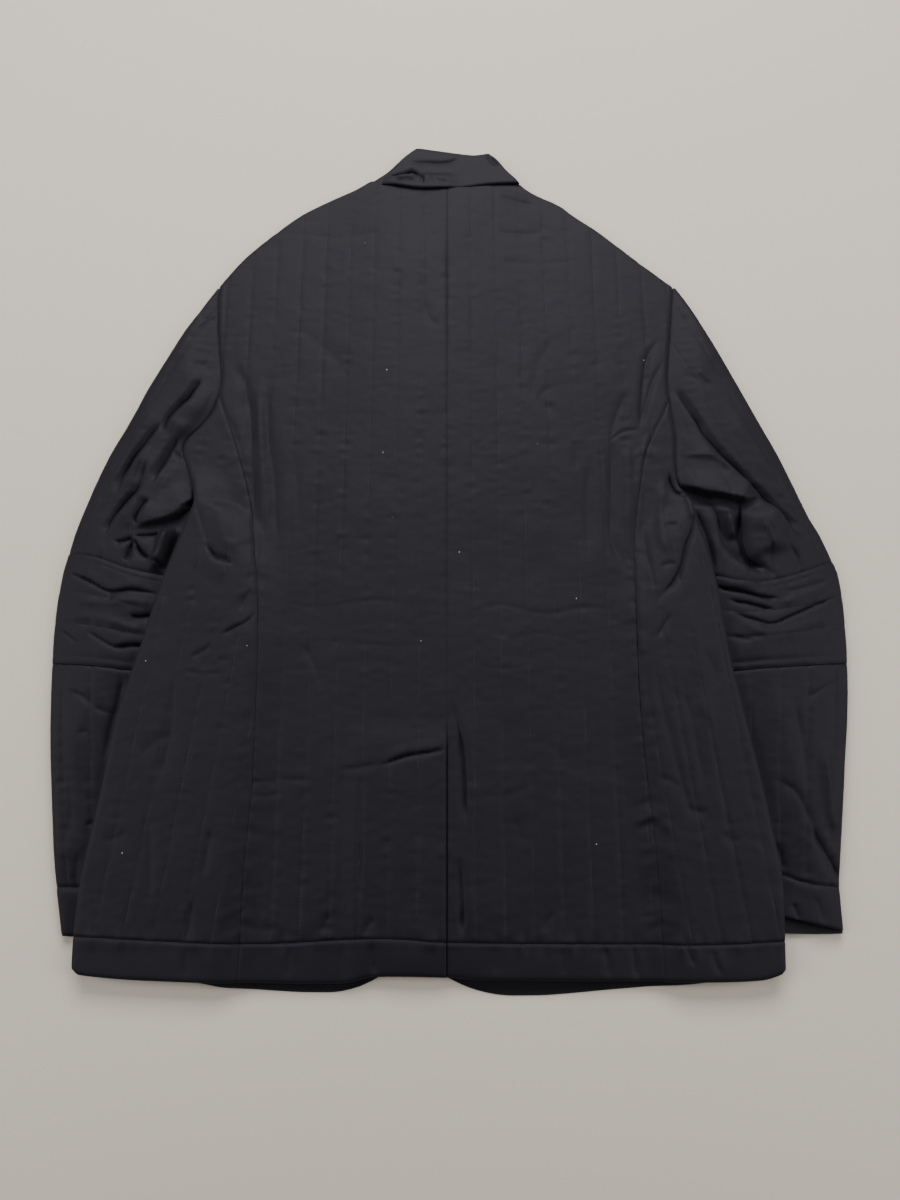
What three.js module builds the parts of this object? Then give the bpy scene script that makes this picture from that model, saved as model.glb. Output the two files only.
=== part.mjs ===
// A channel-quilted padded coat laid flat on its front, its back uppermost and its sleeves beside it.
//
// Millimetres. +Z is up from the surface that the coat lies on, +Y runs from the hem to the collar and +X to
// the wearer's right. The origin is on that surface, under the middle of the coat.
//
// Every piece is a slab of padded cloth lying on the one below. Each slab is laid out in strips that run across
// it from edge to edge. Its upper face has a column of points on every quilting line and two between them, and
// its lower face is plain. Down the stack come the back and side panels, the fronts, and the two layers of each
// sleeve. Below the armholes the body lies on the inner half of each sleeve, and its edges rise over it.
import * as THREE from "three";

// Padded cloth
const QUILT_PITCH = 25.4; // one inch between quilting lines
const QUILT_RISE = 1.5; // a channel's crown above its stitch lines
const QUILT_SHOULDER = 8; // distance from a stitch line at which a channel is at its full height
const CLOTH = 3; // padded cloth at a stitch line
const PLAIN_CLOTH = 3.6; // cloth of the layers that lie underneath, with no relief
const SEAM_GAP = 0.3;
const LAYER_GAP = 0.4; // between one layer and the next
const EDGE_CLOTH = 1.9; // cloth at a free edge, where the wadding thins out
const EDGE_ROUND = 7; // width of that thin border
const PLAIN_COLUMNS = 6; // columns of a plain face

// Stack heights
const SLEEVE_FLAT = 2 * PLAIN_CLOTH + LAYER_GAP + 0.9; // a sleeve's two layers where the body presses on them
const SLEEVE_PUFF = 4.5; // the same sleeve rises this much more in the open
const SLEEVE_PUFF_WIDTH = 34;
const BACK_SLACK = 1.8; // air between the fronts and the back
const BODY_RAMP = 38; // width over which the body comes down off a sleeve
const BODY_RISE_SPAN = 42; // length below each underarm over which it climbs onto the sleeve
const LAP_RAMP = 26; // width over which the right front comes down off the left front
const VENT_CLOTH = 2.5; // the flap under the vent
const VENT_RISE = 2; // how far that flap lifts the left back
const VENT_RAMP = 18;

// Levels up the coat
const NECK_Y = 384;
const SHOULDER_TIP_Y = 258;
const CENTRE_X = -3;
const VENT_TOP_Y = -219;
const VENT_UNDERLAP = 76; // width of the right back's flap under the left back
const STRAIGHTENING = 90; // height over which strips turn from a curved hem to level

// Every strip of the body and of the upper sleeves lies at one of these levels, which crowd at the underarms.
const LEVELS = [
  -345, -305, -262, -219, -190, -160, -125, -95, -70, -50, -33, -20, -8, 3, 12, 22, 33, 45, 57, 70, 84, 100,
  116, 126, 134, 160, 190, 223, 245, 258, 272, 290, 308, 323, 337, 350, 361, 372,
];

/** Turns rows of numbers into records with the given column names. */
const table = (columns, rows) =>
  rows.map((row) => Object.fromEntries(columns.map((name, i) => [name, row[i]])));

// The two side edges of the body and its two long back seams, level by level.
const BODY = table(
  ["y", "sideLeft", "seamLeft", "seamRight", "sideRight"],
  [
    [-428, -319, -182, 184, 283],
    [-384, -322, -180.5, 183, 286],
    [-331, -321, -180.5, 182, 289],
    [-290, -315.5, -178.5, 180, 284],
    [-248, -310, -176.5, 177, 278],
    [-190, -303, -177, 174, 268],
    [-130, -288, -178, 174, 258],
    [-65, -273, -182, 175.5, 252],
    [-32, -263, -186.5, 176.5, 246],
    [0, -253, -191, 180, 237],
    [20, -248, -195, 183, 234],
    [45, -254, -201.5, 187, 228],
    [70, -264, -209.5, 192.5, 224],
    [95, -268, -218, 203.5, 223],
    [116, -268, -226, 214.8, 223],
    [134, -268, -232.5, 220, 223],
  ],
);

// The armhole seams, from the underarm up to the shoulder tip.
const ARMHOLE_LEFT = table(
  ["y", "x"],
  [
    [70, -264.5],
    [84, -262],
    [100, -249],
    [116, -238],
    [134, -232.5],
    [154, -231],
    [188, -235],
    [223, -238.5],
    [245, -239.5],
    [258, -239.5],
  ],
);
const ARMHOLE_RIGHT = table(
  ["y", "x"],
  [
    [22, 234],
    [35, 224],
    [54, 221.5],
    [93, 223],
    [119, 220],
    [154, 219],
    [188, 223],
    [223, 227.5],
    [245, 230],
    [258, 231],
  ],
);

// The shoulder lines, from the shoulder tip up to the neck.
const SHOULDER_LEFT = table(
  ["y", "x"],
  [
    [258, -239.5],
    [266, -235],
    [295, -213],
    [322, -185],
    [344, -159],
    [359, -134],
    [376, -99],
    [384, -87],
  ],
);
const SHOULDER_RIGHT = table(
  ["y", "x"],
  [
    [258, 231],
    [265, 223],
    [286, 199],
    [323, 158],
    [343, 132],
    [356, 117],
    [372, 88],
    [384, 74],
  ],
);

// The sleeves' outer edges and the inner edges that the body hides.
const SLEEVES = table(
  ["y", "outerLeft", "innerLeft", "innerRight", "outerRight"],
  [
    [-378, -336.5, -205, 208, 341],
    [-335, -346, -200, 204, 342],
    [-290, -354, -197, 199, 349],
    [-233, -362, -194, 193, 358],
    [-188, -367, -192, 191, 365.5],
    [-140, -371, -191, 190, 370.5],
    [-96, -372.5, -193, 193, 372.5],
    [-54, -370, -199, 201, 371],
    [-33, -366.5, -205, 209, 364.5],
    [-14, -363, -213, 218, 357.5],
    [2, -359, -224, 231, 350],
    [12, -356, -236, 238, 346],
    [20, -353.5, -249.5, 237, 343],
    [37, -348.5, -253, 229, 337],
    [69, -337, -265, 224.6, 325],
    [103, -321, -269, 224, 310],
    [140, -306, -269, 224, 294],
    [174, -290, -269, 224, 279],
    [206, -274, -269, 224, 264],
    [234, -257, -269, 224, 250],
    [258, -243, -269, 224, 236],
  ],
);

// Level curves that run across the coat: for each x, how far up they lie.
const levels = (rows) => table(["x", "y"], rows);
const HEM_LINE = levels([
  [-322, -378],
  [-246, -382],
  [-162, -385],
  [-60, -380.5],
  [6, -384],
  [84, -385],
  [224, -385],
  [286, -382],
]);
const HEM_EDGE = levels([
  [-320, -405],
  [-314, -409],
  [-258, -413.5],
  [-133, -417],
  [-90, -416.5],
  [-66, -411.5],
  [-3, -412],
  [28, -414.5],
  [195, -415],
  [262, -413.5],
  [280, -409],
  [284, -406],
]);
const BAND_TOP_LEFT = levels([
  [-368, -33],
  [-337, -38],
  [-305, -49],
  [-276, -54],
  [-190, -62],
]);
const BAND_FOOT_LEFT = levels([
  [-372, -140],
  [-333, -142.5],
  [-295, -146],
  [-190, -152],
]);
const BAND_TOP_RIGHT = levels([
  [190, -52],
  [255, -55.5],
  [270, -60],
  [294, -62],
  [326, -55.5],
  [366, -41],
]);
const BAND_FOOT_RIGHT = levels([
  [190, -150],
  [263, -146.5],
  [303, -144],
  [371, -140],
]);
const CUFF_LINE_LEFT = levels([
  [-350, -338],
  [-205, -342],
]);
const CUFF_LINE_RIGHT = levels([
  [200, -318],
  [291, -328],
  [314, -335],
  [346, -339],
]);
const CUFF_EDGE_LEFT = levels([
  [-350, -378],
  [-205, -380],
]);
const CUFF_EDGE_RIGHT = levels([
  [200, -358],
  [290, -364],
  [320, -370],
  [346, -376],
]);
const COLLAR_TOP = levels([
  [-90, 427.5],
  [-36, 427.5],
  [-14, 424.3],
  [24, 418.5],
  [34, 419.5],
  [43, 421],
  [90, 421],
]);
const COLLAR_FALL_EDGE = levels([
  [-90, 381],
  [-58, 377],
  [-32, 373],
  [-8, 374],
  [17, 376.5],
  [40, 380],
  [70, 381.7],
  [90, 381.7],
]);

// The collar's slanting ends: the fall is drawn in a little on the left, where it turns under.
const COLLAR_ENDS = table(
  ["y", "left", "fallLeft", "right"],
  [
    [373, -97, -76, 80],
    [387, -83, -70, 71],
    [398, -69, -63, 61.5],
    [413, -55, -52, 50.5],
    [427.5, -37, -36.5, 35],
  ],
);

const FRONT_HEM_LEFT = levels([
  [-320, -404],
  [-300, -408],
  [-218, -415.7],
  [-190, -420.5],
  [-134, -424.5],
  [-106, -425],
]);
const FRONT_HEM_RIGHT = levels([
  [55, -427.5],
  [84, -427],
  [140, -422.5],
  [213, -416.5],
  [262, -409],
  [284, -404],
]);

// Each front's lower corner is a quarter ellipse from its centre edge to the lowest point of its hem.
const FRONT_CORNERS = {
  left: { edgeX: -12, centreX: -106, centreY: -320, hemY: -425 },
  right: { edgeX: -58, centreX: 55, centreY: -320, hemY: -427.5 },
};

// The largest folds, each a soft ridge (rise above 0) or trough along a straight line.
const FOLDS = table(
  ["x0", "y0", "x1", "y1", "width", "rise"],
  [
    // left back, running down from the armhole
    [-212, 152, -203, 40, 7, -1.6],
    [-187, 150, -181, -40, 8, -1.6],
    [-199, 140, -190, 10, 6, 1.8],
    [-158, 60, -152, -60, 6, -1.2],
    // right back, running down from the armhole
    [201, 140, 190, 96, 7, -1.6],
    [167, 84, 160, -50, 7, -1.7],
    [146, 70, 140, -45, 6, -1.5],
    [156, 80, 149, -40, 7, 2],
    [207, 128, 196, 60, 7, 2.2],
    // waist and vent
    [-76, -225, -8, -216, 5, 2.6],
    [-176, -97, -236, -134, 6, 1.6],
    [12, -176, 16, -300, 5, 2.2],
    // side panels
    [-238, 8, -232, -36, 7, 2.4],
    [214, -10, 196, -90, 7, 2.4],
    [228, 20, 216, -30, 8, 2.6],
    // left sleeve, from the armhole to the elbow
    [-256, 150, -300, 88, 8, -2.6],
    [-296, 104, -334, 30, 8, -2.8],
    [-270, 130, -322, 60, 9, 4.2],
    [-280, 88, -318, 22, 8, 4.2],
    [-262, 60, -300, 2, 9, 4.6],
    [-292, -2, -330, -22, 7, 3.4],
    // right sleeve, from the armhole to the elbow
    [232, 140, 330, -2, 8, -3],
    [234, 118, 300, 44, 10, 5],
    [262, 26, 306, -38, 10, 3.6],
    [306, 44, 344, -10, 9, 3.4],
    // elbow bands
    [-362, -54, -308, -70, 6, -2],
    [-358, -112, -300, -126, 6, -2],
    [-356, -86, -286, -96, 8, 2.2],
    [268, -76, 300, -90, 6, -2],
    [300, -92, 362, -72, 6, -2.2],
    [270, -110, 350, -104, 8, 2.2],
    // lower right sleeve
    [300, -200, 340, -318, 8, 3],
    [296, -180, 318, -250, 8, -2],
  ],
);

const clamp01 = (t) => Math.min(1, Math.max(0, t));
const smooth = (t) => clamp01(t) ** 2 * (3 - 2 * clamp01(t));
const mix = (a, b, t) => a + (b - a) * t;

/** A straight-sided ramp from 0 to 1, gentler at its foot and head. */
function ramp(t) {
  const share = clamp01(t) * 3;
  if (share < 1) return 0.22 * share;
  return share < 2 ? 0.22 + 0.56 * (share - 1) : 0.78 + 0.22 * (share - 2);
}
const RAMP_KNOTS = [0, 1 / 3, 2 / 3, 1];

/** A cubic through the rows of a table: the named column as a function of the key column, which rises. */
function reader(rows, column, key = "y") {
  const steepness = (i) => {
    const before = rows[Math.max(0, i - 1)];
    const after = rows[Math.min(rows.length - 1, i + 1)];
    return (after[column] - before[column]) / (after[key] - before[key]);
  };
  return (value) => {
    let i = 0;
    while (i < rows.length - 2 && value > rows[i + 1][key]) i++;
    const span = rows[i + 1][key] - rows[i][key];
    const t = clamp01((value - rows[i][key]) / span);
    const [t2, t3] = [t * t, t * t * t];
    return (
      (2 * t3 - 3 * t2 + 1) * rows[i][column] +
      (t3 - 2 * t2 + t) * span * steepness(i) +
      (3 * t2 - 2 * t3) * rows[i + 1][column] +
      (t3 - t2) * span * steepness(i + 1)
    );
  };
}

const level = (rows) => reader(rows, "y", "x");
const HEM_STITCHES = level(HEM_LINE);
const HEM_FOOT = level(HEM_EDGE);
const HEM_BAND_ROWS = [0, 0.12, 0.4, 0.75, 0.93, 1]; // strips of a hem band, as shares of its depth
const FRONT_CORNER_ROWS = [1.5, 5, 11, 21, 35, 55]; // strips near a front's rounded corner, above its foot
const VENT_CORNER_ROWS = [4, 10, 18, 26, 37, 50]; // strips of the vent's flap near those corners
const PRESSED = 0.86; // how thin the body presses the sleeve under it
const flat = (y) => () => y;
const shifted = (curve, by) => (value) => curve(value) + by;

/** One side of the coat: its curves, with sign -1 for the wearer's left and 1 for the right. */
function coatSide(sign, names) {
  const armhole = reader(names.armhole, "x");
  const shoulder = reader(names.shoulder, "x");
  const side = reader(BODY, names.side);
  const seam = reader(BODY, names.seam);
  const underarm = names.armhole[0].y;
  const { seamHead, sideHead, onSleeveY } = names;
  const tip = SHOULDER_TIP_Y;
  return {
    sign,
    underarm,
    sideHead,
    onSleeveY,
    side,
    seam,
    outer: reader(SLEEVES, names.outer),
    inner: reader(SLEEVES, names.inner),
    // outline of the centre back: long seam, then armhole, then shoulder
    backEdge: (y) => (y < seamHead ? seam(y) : y < tip ? armhole(y) : shoulder(y)),
    // outline of the body: side edge, then armhole
    bodyEdge: (y) => (y < underarm ? side(y) : armhole(y)),
    frontEdge: (y) => (y < underarm ? side(y) : y < tip ? armhole(y) : shoulder(y)),
    // the sleeve's edge towards the body: armhole seam above the underarm, hidden inner edge below it
    sleeveEdge: (y) =>
      y < underarm ? reader(SLEEVES, names.inner)(y) : armhole(y) + sign * 2 * SEAM_GAP,
    bandTop: level(names.bandTop),
    bandFoot: level(names.bandFoot),
    cuffLine: level(names.cuffLine),
    cuffEdge: level(names.cuffEdge),
  };
}

const LEFT = coatSide(-1, {
  armhole: ARMHOLE_LEFT,
  shoulder: SHOULDER_LEFT,
  side: "sideLeft",
  seam: "seamLeft",
  seamHead: 134,
  sideHead: 126,
  onSleeveY: 22,
  outer: "outerLeft",
  inner: "innerLeft",
  bandTop: BAND_TOP_LEFT,
  bandFoot: BAND_FOOT_LEFT,
  cuffLine: CUFF_LINE_LEFT,
  cuffEdge: CUFF_EDGE_LEFT,
});
const RIGHT = coatSide(1, {
  armhole: ARMHOLE_RIGHT,
  shoulder: SHOULDER_RIGHT,
  side: "sideRight",
  seam: "seamRight",
  seamHead: 126,
  sideHead: 116,
  onSleeveY: 3,
  outer: "outerRight",
  inner: "innerRight",
  bandTop: BAND_TOP_RIGHT,
  bandFoot: BAND_FOOT_RIGHT,
  cuffLine: CUFF_LINE_RIGHT,
  cuffEdge: CUFF_EDGE_RIGHT,
});
const SIDES = { left: LEFT, right: RIGHT };

/** Height of all folds at a point: each is a bell across its line that dies away at both ends. */
function foldRise(x, y) {
  let rise = 0;
  for (const fold of FOLDS) {
    const [dx, dy] = [fold.x1 - fold.x0, fold.y1 - fold.y0];
    const length2 = dx * dx + dy * dy;
    const t = ((x - fold.x0) * dx + (y - fold.y0) * dy) / length2;
    const off = Math.abs((x - fold.x0) * dy - (y - fold.y0) * dx) / Math.sqrt(length2);
    const fade = smooth(4 * t + 0.3) * smooth(4 * (1 - t) + 0.3);
    rise += fold.rise * fade * Math.exp(-((off / fold.width) ** 2));
  }
  return rise;
}

/** How far the sleeves below lift the body off the surface. */
function bodyFloor(x, y) {
  const lifts = Object.values(SIDES).map(({ sign, onSleeveY, inner }) => {
    const across = 1 + (sign * x - sign * (inner(y) - sign * 2)) / BODY_RAMP;
    const along = (onSleeveY + BODY_RISE_SPAN - y) / BODY_RISE_SPAN;
    return (SLEEVE_FLAT + LAYER_GAP) * smooth(along) * ramp(across);
  });
  return Math.max(...lifts);
}

/** Where the body's ramp off a sleeve changes slope at level y. */
const rampKnots = ({ sign, inner }, y) =>
  RAMP_KNOTS.map((share) => inner(y) - sign * (2 + (1 - share) * BODY_RAMP));

/** The curved free edge of a front: its centre edge, turning outwards along a quarter ellipse at the hem. */
function frontCornerX({ edgeX, centreX, centreY, hemY }, y) {
  const drop = clamp01((centreY - y) / (centreY - hemY));
  return centreX + (edgeX - centreX) * Math.sqrt(Math.max(0, 1 - drop * drop));
}

/** Extra height of the right front, and of the back over it, where it laps the left front. */
function lapRise(x, y) {
  const leftEdge = frontCornerX(FRONT_CORNERS.left, y);
  return (PLAIN_CLOTH + LAYER_GAP) * (1 - clamp01((x - leftEdge) / LAP_RAMP));
}

/** The lap as the back panels feel it: only where both fronts lie. */
function lapUnderBack(x, y) {
  const rightEdge = frontCornerX(FRONT_CORNERS.right, y);
  return lapRise(x, y) * clamp01((x - rightEdge + LAP_RAMP) / LAP_RAMP);
}

/** Where the lap changes slope at level y. */
const lapKnots = (y) => [
  frontCornerX(FRONT_CORNERS.right, y) - LAP_RAMP,
  frontCornerX(FRONT_CORNERS.right, y),
  frontCornerX(FRONT_CORNERS.left, y),
  frontCornerX(FRONT_CORNERS.left, y) + LAP_RAMP,
];

/** The top of the fronts as the back feels it. */
const frontTop = (x, y) => bodyFloor(x, y) + PLAIN_CLOTH + lapUnderBack(x, y);

const VENT_FOLD_X = CENTRE_X - VENT_UNDERLAP;

/** The underside of the back and side panels, lifted by the flap under the left back's vent. */
function backFloor(x, y) {
  const across = clamp01((x - VENT_FOLD_X) / VENT_RAMP + 1) * (x < CENTRE_X ? 1 : 0);
  const along = clamp01((-190 - y) / (-190 - VENT_TOP_Y));
  return frontTop(x, y) + LAYER_GAP + BACK_SLACK + VENT_RISE * across * along;
}
const ventKnots = () => [VENT_FOLD_X - VENT_RAMP, VENT_FOLD_X];

/** How far a sleeve rises in the open: nothing at its outer edge or under the body. */
function sleevePuff({ sign, outer, bodyEdge }, x, y) {
  const fromOuter = sign * outer(y) - sign * x;
  const fromBody = sign * x - sign * bodyEdge(y) - 3;
  return SLEEVE_PUFF * smooth(fromOuter / SLEEVE_PUFF_WIDTH) * smooth(fromBody / SLEEVE_PUFF_WIDTH);
}

/** Where the body leaves a sleeve's folds room to rise: 1 in the open, 0 under the body. */
function openSleeve({ sign, bodyEdge }, x, y) {
  return smooth((sign * x - sign * bodyEdge(y) - 3) / 16);
}

/** A strip across a piece: its level curve cut off by the piece's left and right edges. */
function strip(curve, leftEdge, rightEdge) {
  const meet = (edge) => {
    let x = edge(curve(0));
    for (let i = 0; i < 12; i++) x = mix(x, edge(curve(x)), 0.7);
    return x;
  };
  const [x0, x1] = [meet(leftEdge), meet(rightEdge)];
  return { x0, x1, curve };
}

/** The strips of a piece at the given shares of the way from its foot to its head. */
function strips(foot, head, shares, leftEdge, rightEdge) {
  return shares.map((v) => strip((x) => mix(foot(x), head(x), v), leftEdge, rightEdge));
}

/** The strips of a piece from its foot up to its level head, at the coat's levels wherever it is straight. */
function levelStrips(foot, headY, leftEdge, rightEdge, extra = []) {
  const ground = strip(foot, leftEdge, rightEdge);
  const lowest = Math.min(...even(8).map((u) => foot(mix(ground.x0, ground.x1, u))));
  const highest = Math.max(...even(8).map((u) => foot(mix(ground.x0, ground.x1, u))));
  const base = (lowest + highest) / 2;
  const bend = (x, y) => (foot(x) - base) * (1 - smooth((y - base) / STRAIGHTENING));
  const shelves = [...extra.map((rise) => base + rise), ...LEVELS]
    .filter((y) => y > base + (extra.length ? 1 : 12) && y < headY - 5)
    .sort((p, q) => p - q)
    .filter((y, i, all) => extra.length === 0 || !all.some((z) => z < y && y - z < 1));
  const curves = [foot, ...shelves.map((y) => (x) => y + bend(x, y)), flat(headY)];
  return curves.map((curve) => strip(curve, leftEdge, rightEdge));
}

/** Even shares from 0 to 1. */
const even = (count) => Array.from({ length: count + 1 }, (_, i) => i / count);

/** The two ends of a strip with the columns between them, each keyed so that it meets its like in the next strip. */
const endToEnd = ({ x0, x1 }, inner) => [{ x: x0, key: "start" }, ...inner, { x: x1, key: "end" }];

/** Columns on a strip's stitch lines and in the middle of each channel, clear of its ends. */
function quiltedColumns(s, linesAt) {
  const clear = 3.4;
  const lines = linesAt(s.curve((s.x0 + s.x1) / 2));
  const columns = lines.flatMap((x, k) => [
    { x, key: k },
    { x: mix(x, lines[k + 1] ?? x, 0.5), key: k + 0.5 },
  ]);
  return endToEnd(s, columns.filter(({ x }) => x - s.x0 > clear && s.x1 - x > clear));
}

/** Evenly spaced columns. */
const plainColumns = (count) => (s) =>
  endToEnd(s, even(count).slice(1, -1).map((u, key) => ({ x: mix(s.x0, s.x1, u), key })));

/** Columns where the stack underneath changes slope. */
function knottedColumns(knotsAt) {
  return (s) => {
    const within = (x) => Math.min(s.x1, Math.max(s.x0, x));
    const knots = knotsAt(s.curve((s.x0 + s.x1) / 2)).map(within).sort((a, b) => a - b);
    return endToEnd(s, knots.map((x, key) => ({ x, key })));
  };
}

/** Triangles between two runs of points, taking the nearer next point each time. */
function zipRun(near, far, add) {
  const share = (row, i) => (row[i].x - row[0].x) / (row.at(-1).x - row[0].x || 1);
  let [i, j] = [0, 0];
  while (i < near.length - 1 || j < far.length - 1) {
    const farDone = j === far.length - 1;
    const nearFirst = i < near.length - 1 && (farDone || share(near, i + 1) <= share(far, j + 1));
    if (nearFirst) add(near[i], near[++i], far[j]);
    else add(near[i], far[j + 1], far[j++]);
  }
}

/** Triangles between two rows of points, run by run between the keys that both rows have. */
function zip(near, far, add) {
  const place = (row, key) => row.findIndex((point) => point.key === key);
  const shared = near.map(({ key }) => key).filter((key) => place(far, key) >= 0);
  for (let k = 1; k < shared.length; k++) {
    const run = (row) => row.slice(place(row, shared[k - 1]), place(row, shared[k]) + 1);
    zipRun(run(near), run(far), add);
  }
}

/** A closed slab on the given strips, between two height functions of x and y. */
function slab({ across, top, bottom, topColumns, bottomColumns = plainColumns(PLAIN_COLUMNS) }) {
  const rows = (height, columns) =>
    across.map((s) =>
      columns(s).map(({ x, key }) => ({ x, y: s.curve(x), z: height(x, s.curve(x), s), key })),
    );
  const [upper, lower] = [rows(top, topColumns), rows(bottom, bottomColumns)];
  const positions = [];
  const same = (p, q) => p.x === q.x && p.y === q.y && p.z === q.z;
  const add = (...corners) => {
    if (corners.some((p, i) => same(p, corners[(i + 1) % 3]))) return;
    for (const { x, y, z } of corners) positions.push(x, y, z);
  };
  const turned = (a, b, c) => add(a, c, b);
  for (let k = 0; k + 1 < across.length; k++) {
    zip(upper[k], upper[k + 1], add);
    zip(lower[k], lower[k + 1], turned);
    for (const [end, face] of [[0, add], [-1, turned]]) {
      const [a, b, c, d] = [lower[k], lower[k + 1], upper[k + 1], upper[k]].map((row) => row.at(end));
      face(a, d, c);
      face(a, c, b);
    }
  }
  zipRun(lower[0], upper[0], add);
  zipRun(lower.at(-1), upper.at(-1), turned);
  return new THREE.BufferGeometry().setAttribute(
    "position",
    new THREE.Float32BufferAttribute(positions, 3),
  );
}

/** Share of a channel's full height at a distance from the nearest stitch line or seam. */
const crown = (distance) => 1 - (1 - clamp01(distance / QUILT_SHOULDER)) ** 2;

/** Thickness of padded cloth with stitch lines across it, thinner at the strip's free ends. */
function quiltedCloth(linesAt, { freeLeft = false, freeRight = false } = {}) {
  return (x, y, { x0, x1 }) => {
    const nearest = Math.min(...linesAt(y).map((line) => Math.abs(x - line)), x - x0, x1 - x);
    const fromFree = Math.min(freeLeft ? x - x0 : Infinity, freeRight ? x1 - x : Infinity);
    const border = (CLOTH - EDGE_CLOTH) * (1 - clamp01(fromFree / EDGE_ROUND)) ** 2;
    return CLOTH + QUILT_RISE * crown(nearest) - border;
  };
}

/** Stitch lines along the grain of a panel: x positions at level y, for a grain that leans by dx per dy. */
function grainLines(originX, lean = 0) {
  const reach = 20; // lines to either side of the first
  return (y) =>
    Array.from({ length: 2 * reach + 1 }, (_, k) => originX + (k - reach) * QUILT_PITCH + lean * (y + 384));
}

const CLOTHS = {
  quilted: new THREE.MeshStandardMaterial({ color: "#2b2a30", roughness: 0.78, metalness: 0 }),
  trim: new THREE.MeshStandardMaterial({ color: "#29282e", roughness: 0.74, metalness: 0 }),
};

const coat = new THREE.Group();

/** Adds a piece to the coat under its name. */
function sew(name, cloth, geometry) {
  const mesh = new THREE.Mesh(geometry, CLOTHS[cloth]);
  mesh.name = name;
  coat.add(mesh);
}

/** Left edge first, for a piece given by its inner and outer edges. */
const leftFirst = (sign, inner, outer) => (sign < 0 ? [outer, inner] : [inner, outer]);

/** The four pieces of the back on one side: centre back, side body and their hem bands. */
function backPieces(name, shape) {
  const { sign, backEdge, bodyEdge, seam, sideHead } = shape;
  const knots = (y) => [...rampKnots(shape, y), ...lapKnots(y), ...(sign < 0 ? ventKnots() : [])];
  const sideKnots = (y) => rampKnots(shape, y);
  const centreEdge = flat(CENTRE_X + (sign * SEAM_GAP) / 2);
  const sideLines = grainLines(seam(-384) + sign * QUILT_PITCH * 0.92, -sign * 0.125);
  const outerFree = sign < 0 ? { freeLeft: true } : { freeRight: true };
  const rise = (thickness) => (x, y, s) => {
    const fromEdge = Math.min(x - s.x0, s.x1 - x);
    return backFloor(x, y) + thickness(x, y, s) + foldRise(x, y) * smooth(fromEdge / 6);
  };
  const panels = [
    {
      piece: "back",
      edges: leftFirst(sign, centreEdge, backEdge),
      head: NECK_Y,
      lines: grainLines(CENTRE_X),
      free: {},
      bottomColumns: knottedColumns(knots),
    },
    {
      piece: "side",
      edges: leftFirst(sign, shifted(seam, sign * SEAM_GAP), bodyEdge),
      head: sideHead,
      lines: sideLines,
      free: outerFree,
      bottomColumns: knottedColumns(sideKnots),
    },
  ];
  for (const { piece, edges, head, lines, free, bottomColumns } of panels) {
    sew(
      `${piece}_${name}`,
      "quilted",
      slab({
        across: levelStrips(shifted(HEM_STITCHES, SEAM_GAP / 2), head, ...edges),
        top: rise(quiltedCloth(lines, free)),
        bottom: backFloor,
        topColumns: (s) => quiltedColumns(s, lines),
        bottomColumns,
      }),
    );
    const bandLines = (y) => lines(y).map((x) => x + 4);
    const bandCloth = quiltedCloth(bandLines, free);
    const foot = HEM_FOOT;
    const bandHead = shifted(HEM_STITCHES, -SEAM_GAP / 2);
    sew(
      `${piece}_hem_${name}`,
      "trim",
      slab({
        across: strips(foot, bandHead, HEM_BAND_ROWS, ...edges),
        top: (x, y, s) => {
          const along = (y - foot(x)) / (bandHead(x) - foot(x));
          const ends = crown(32 * along) * crown(26 * (1 - along));
          return backFloor(x, y) + mix(EDGE_CLOTH, bandCloth(x, y, s), ends);
        },
        bottom: backFloor,
        topColumns: (s) => quiltedColumns(s, bandLines),
        bottomColumns,
      }),
    );
  }
}

/** The right back's flap that lies under the left back along the vent. */
function ventUnderlap() {
  const under = (x, y) => frontTop(x, y) + 2.3 * LAYER_GAP;
  sew(
    "vent_underlap",
    "quilted",
    slab({
      across: levelStrips(
        shifted(HEM_FOOT, 1.5),
        VENT_TOP_Y - 1,
        flat(VENT_FOLD_X + 1),
        flat(CENTRE_X - 1),
        VENT_CORNER_ROWS,
      ),
      top: (x, y) => under(x, y) + VENT_CLOTH,
      bottom: under,
      topColumns: knottedColumns(lapKnots),
      bottomColumns: knottedColumns(lapKnots),
    }),
  );
}

/** A front: flat on the surface, or on the other front where they lap, and over the sleeve below the underarm. */
function front(name, shape) {
  const { sign, frontEdge } = shape;
  const corner = FRONT_CORNERS[name];
  const overLap = name === "right" ? lapRise : () => 0;
  const bottom = (x, y) => bodyFloor(x, y) + overLap(x, y);
  const knots = (y) => [...rampKnots(shape, y), ...(name === "right" ? lapKnots(y).slice(2) : [])];
  const centreEdge = (y) => frontCornerX(corner, y);
  const outerEdge = (y) => frontEdge(y) - sign * 1.5;
  const hem = name === "left" ? level(FRONT_HEM_LEFT) : level(FRONT_HEM_RIGHT);
  sew(
    `front_${name}`,
    "quilted",
    slab({
      across: levelStrips(hem, NECK_Y, ...leftFirst(sign, centreEdge, outerEdge), FRONT_CORNER_ROWS),
      top: (x, y) => bottom(x, y) + PLAIN_CLOTH,
      bottom,
      topColumns: knottedColumns(knots),
      bottomColumns: knottedColumns(knots),
    }),
  );
}

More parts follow.
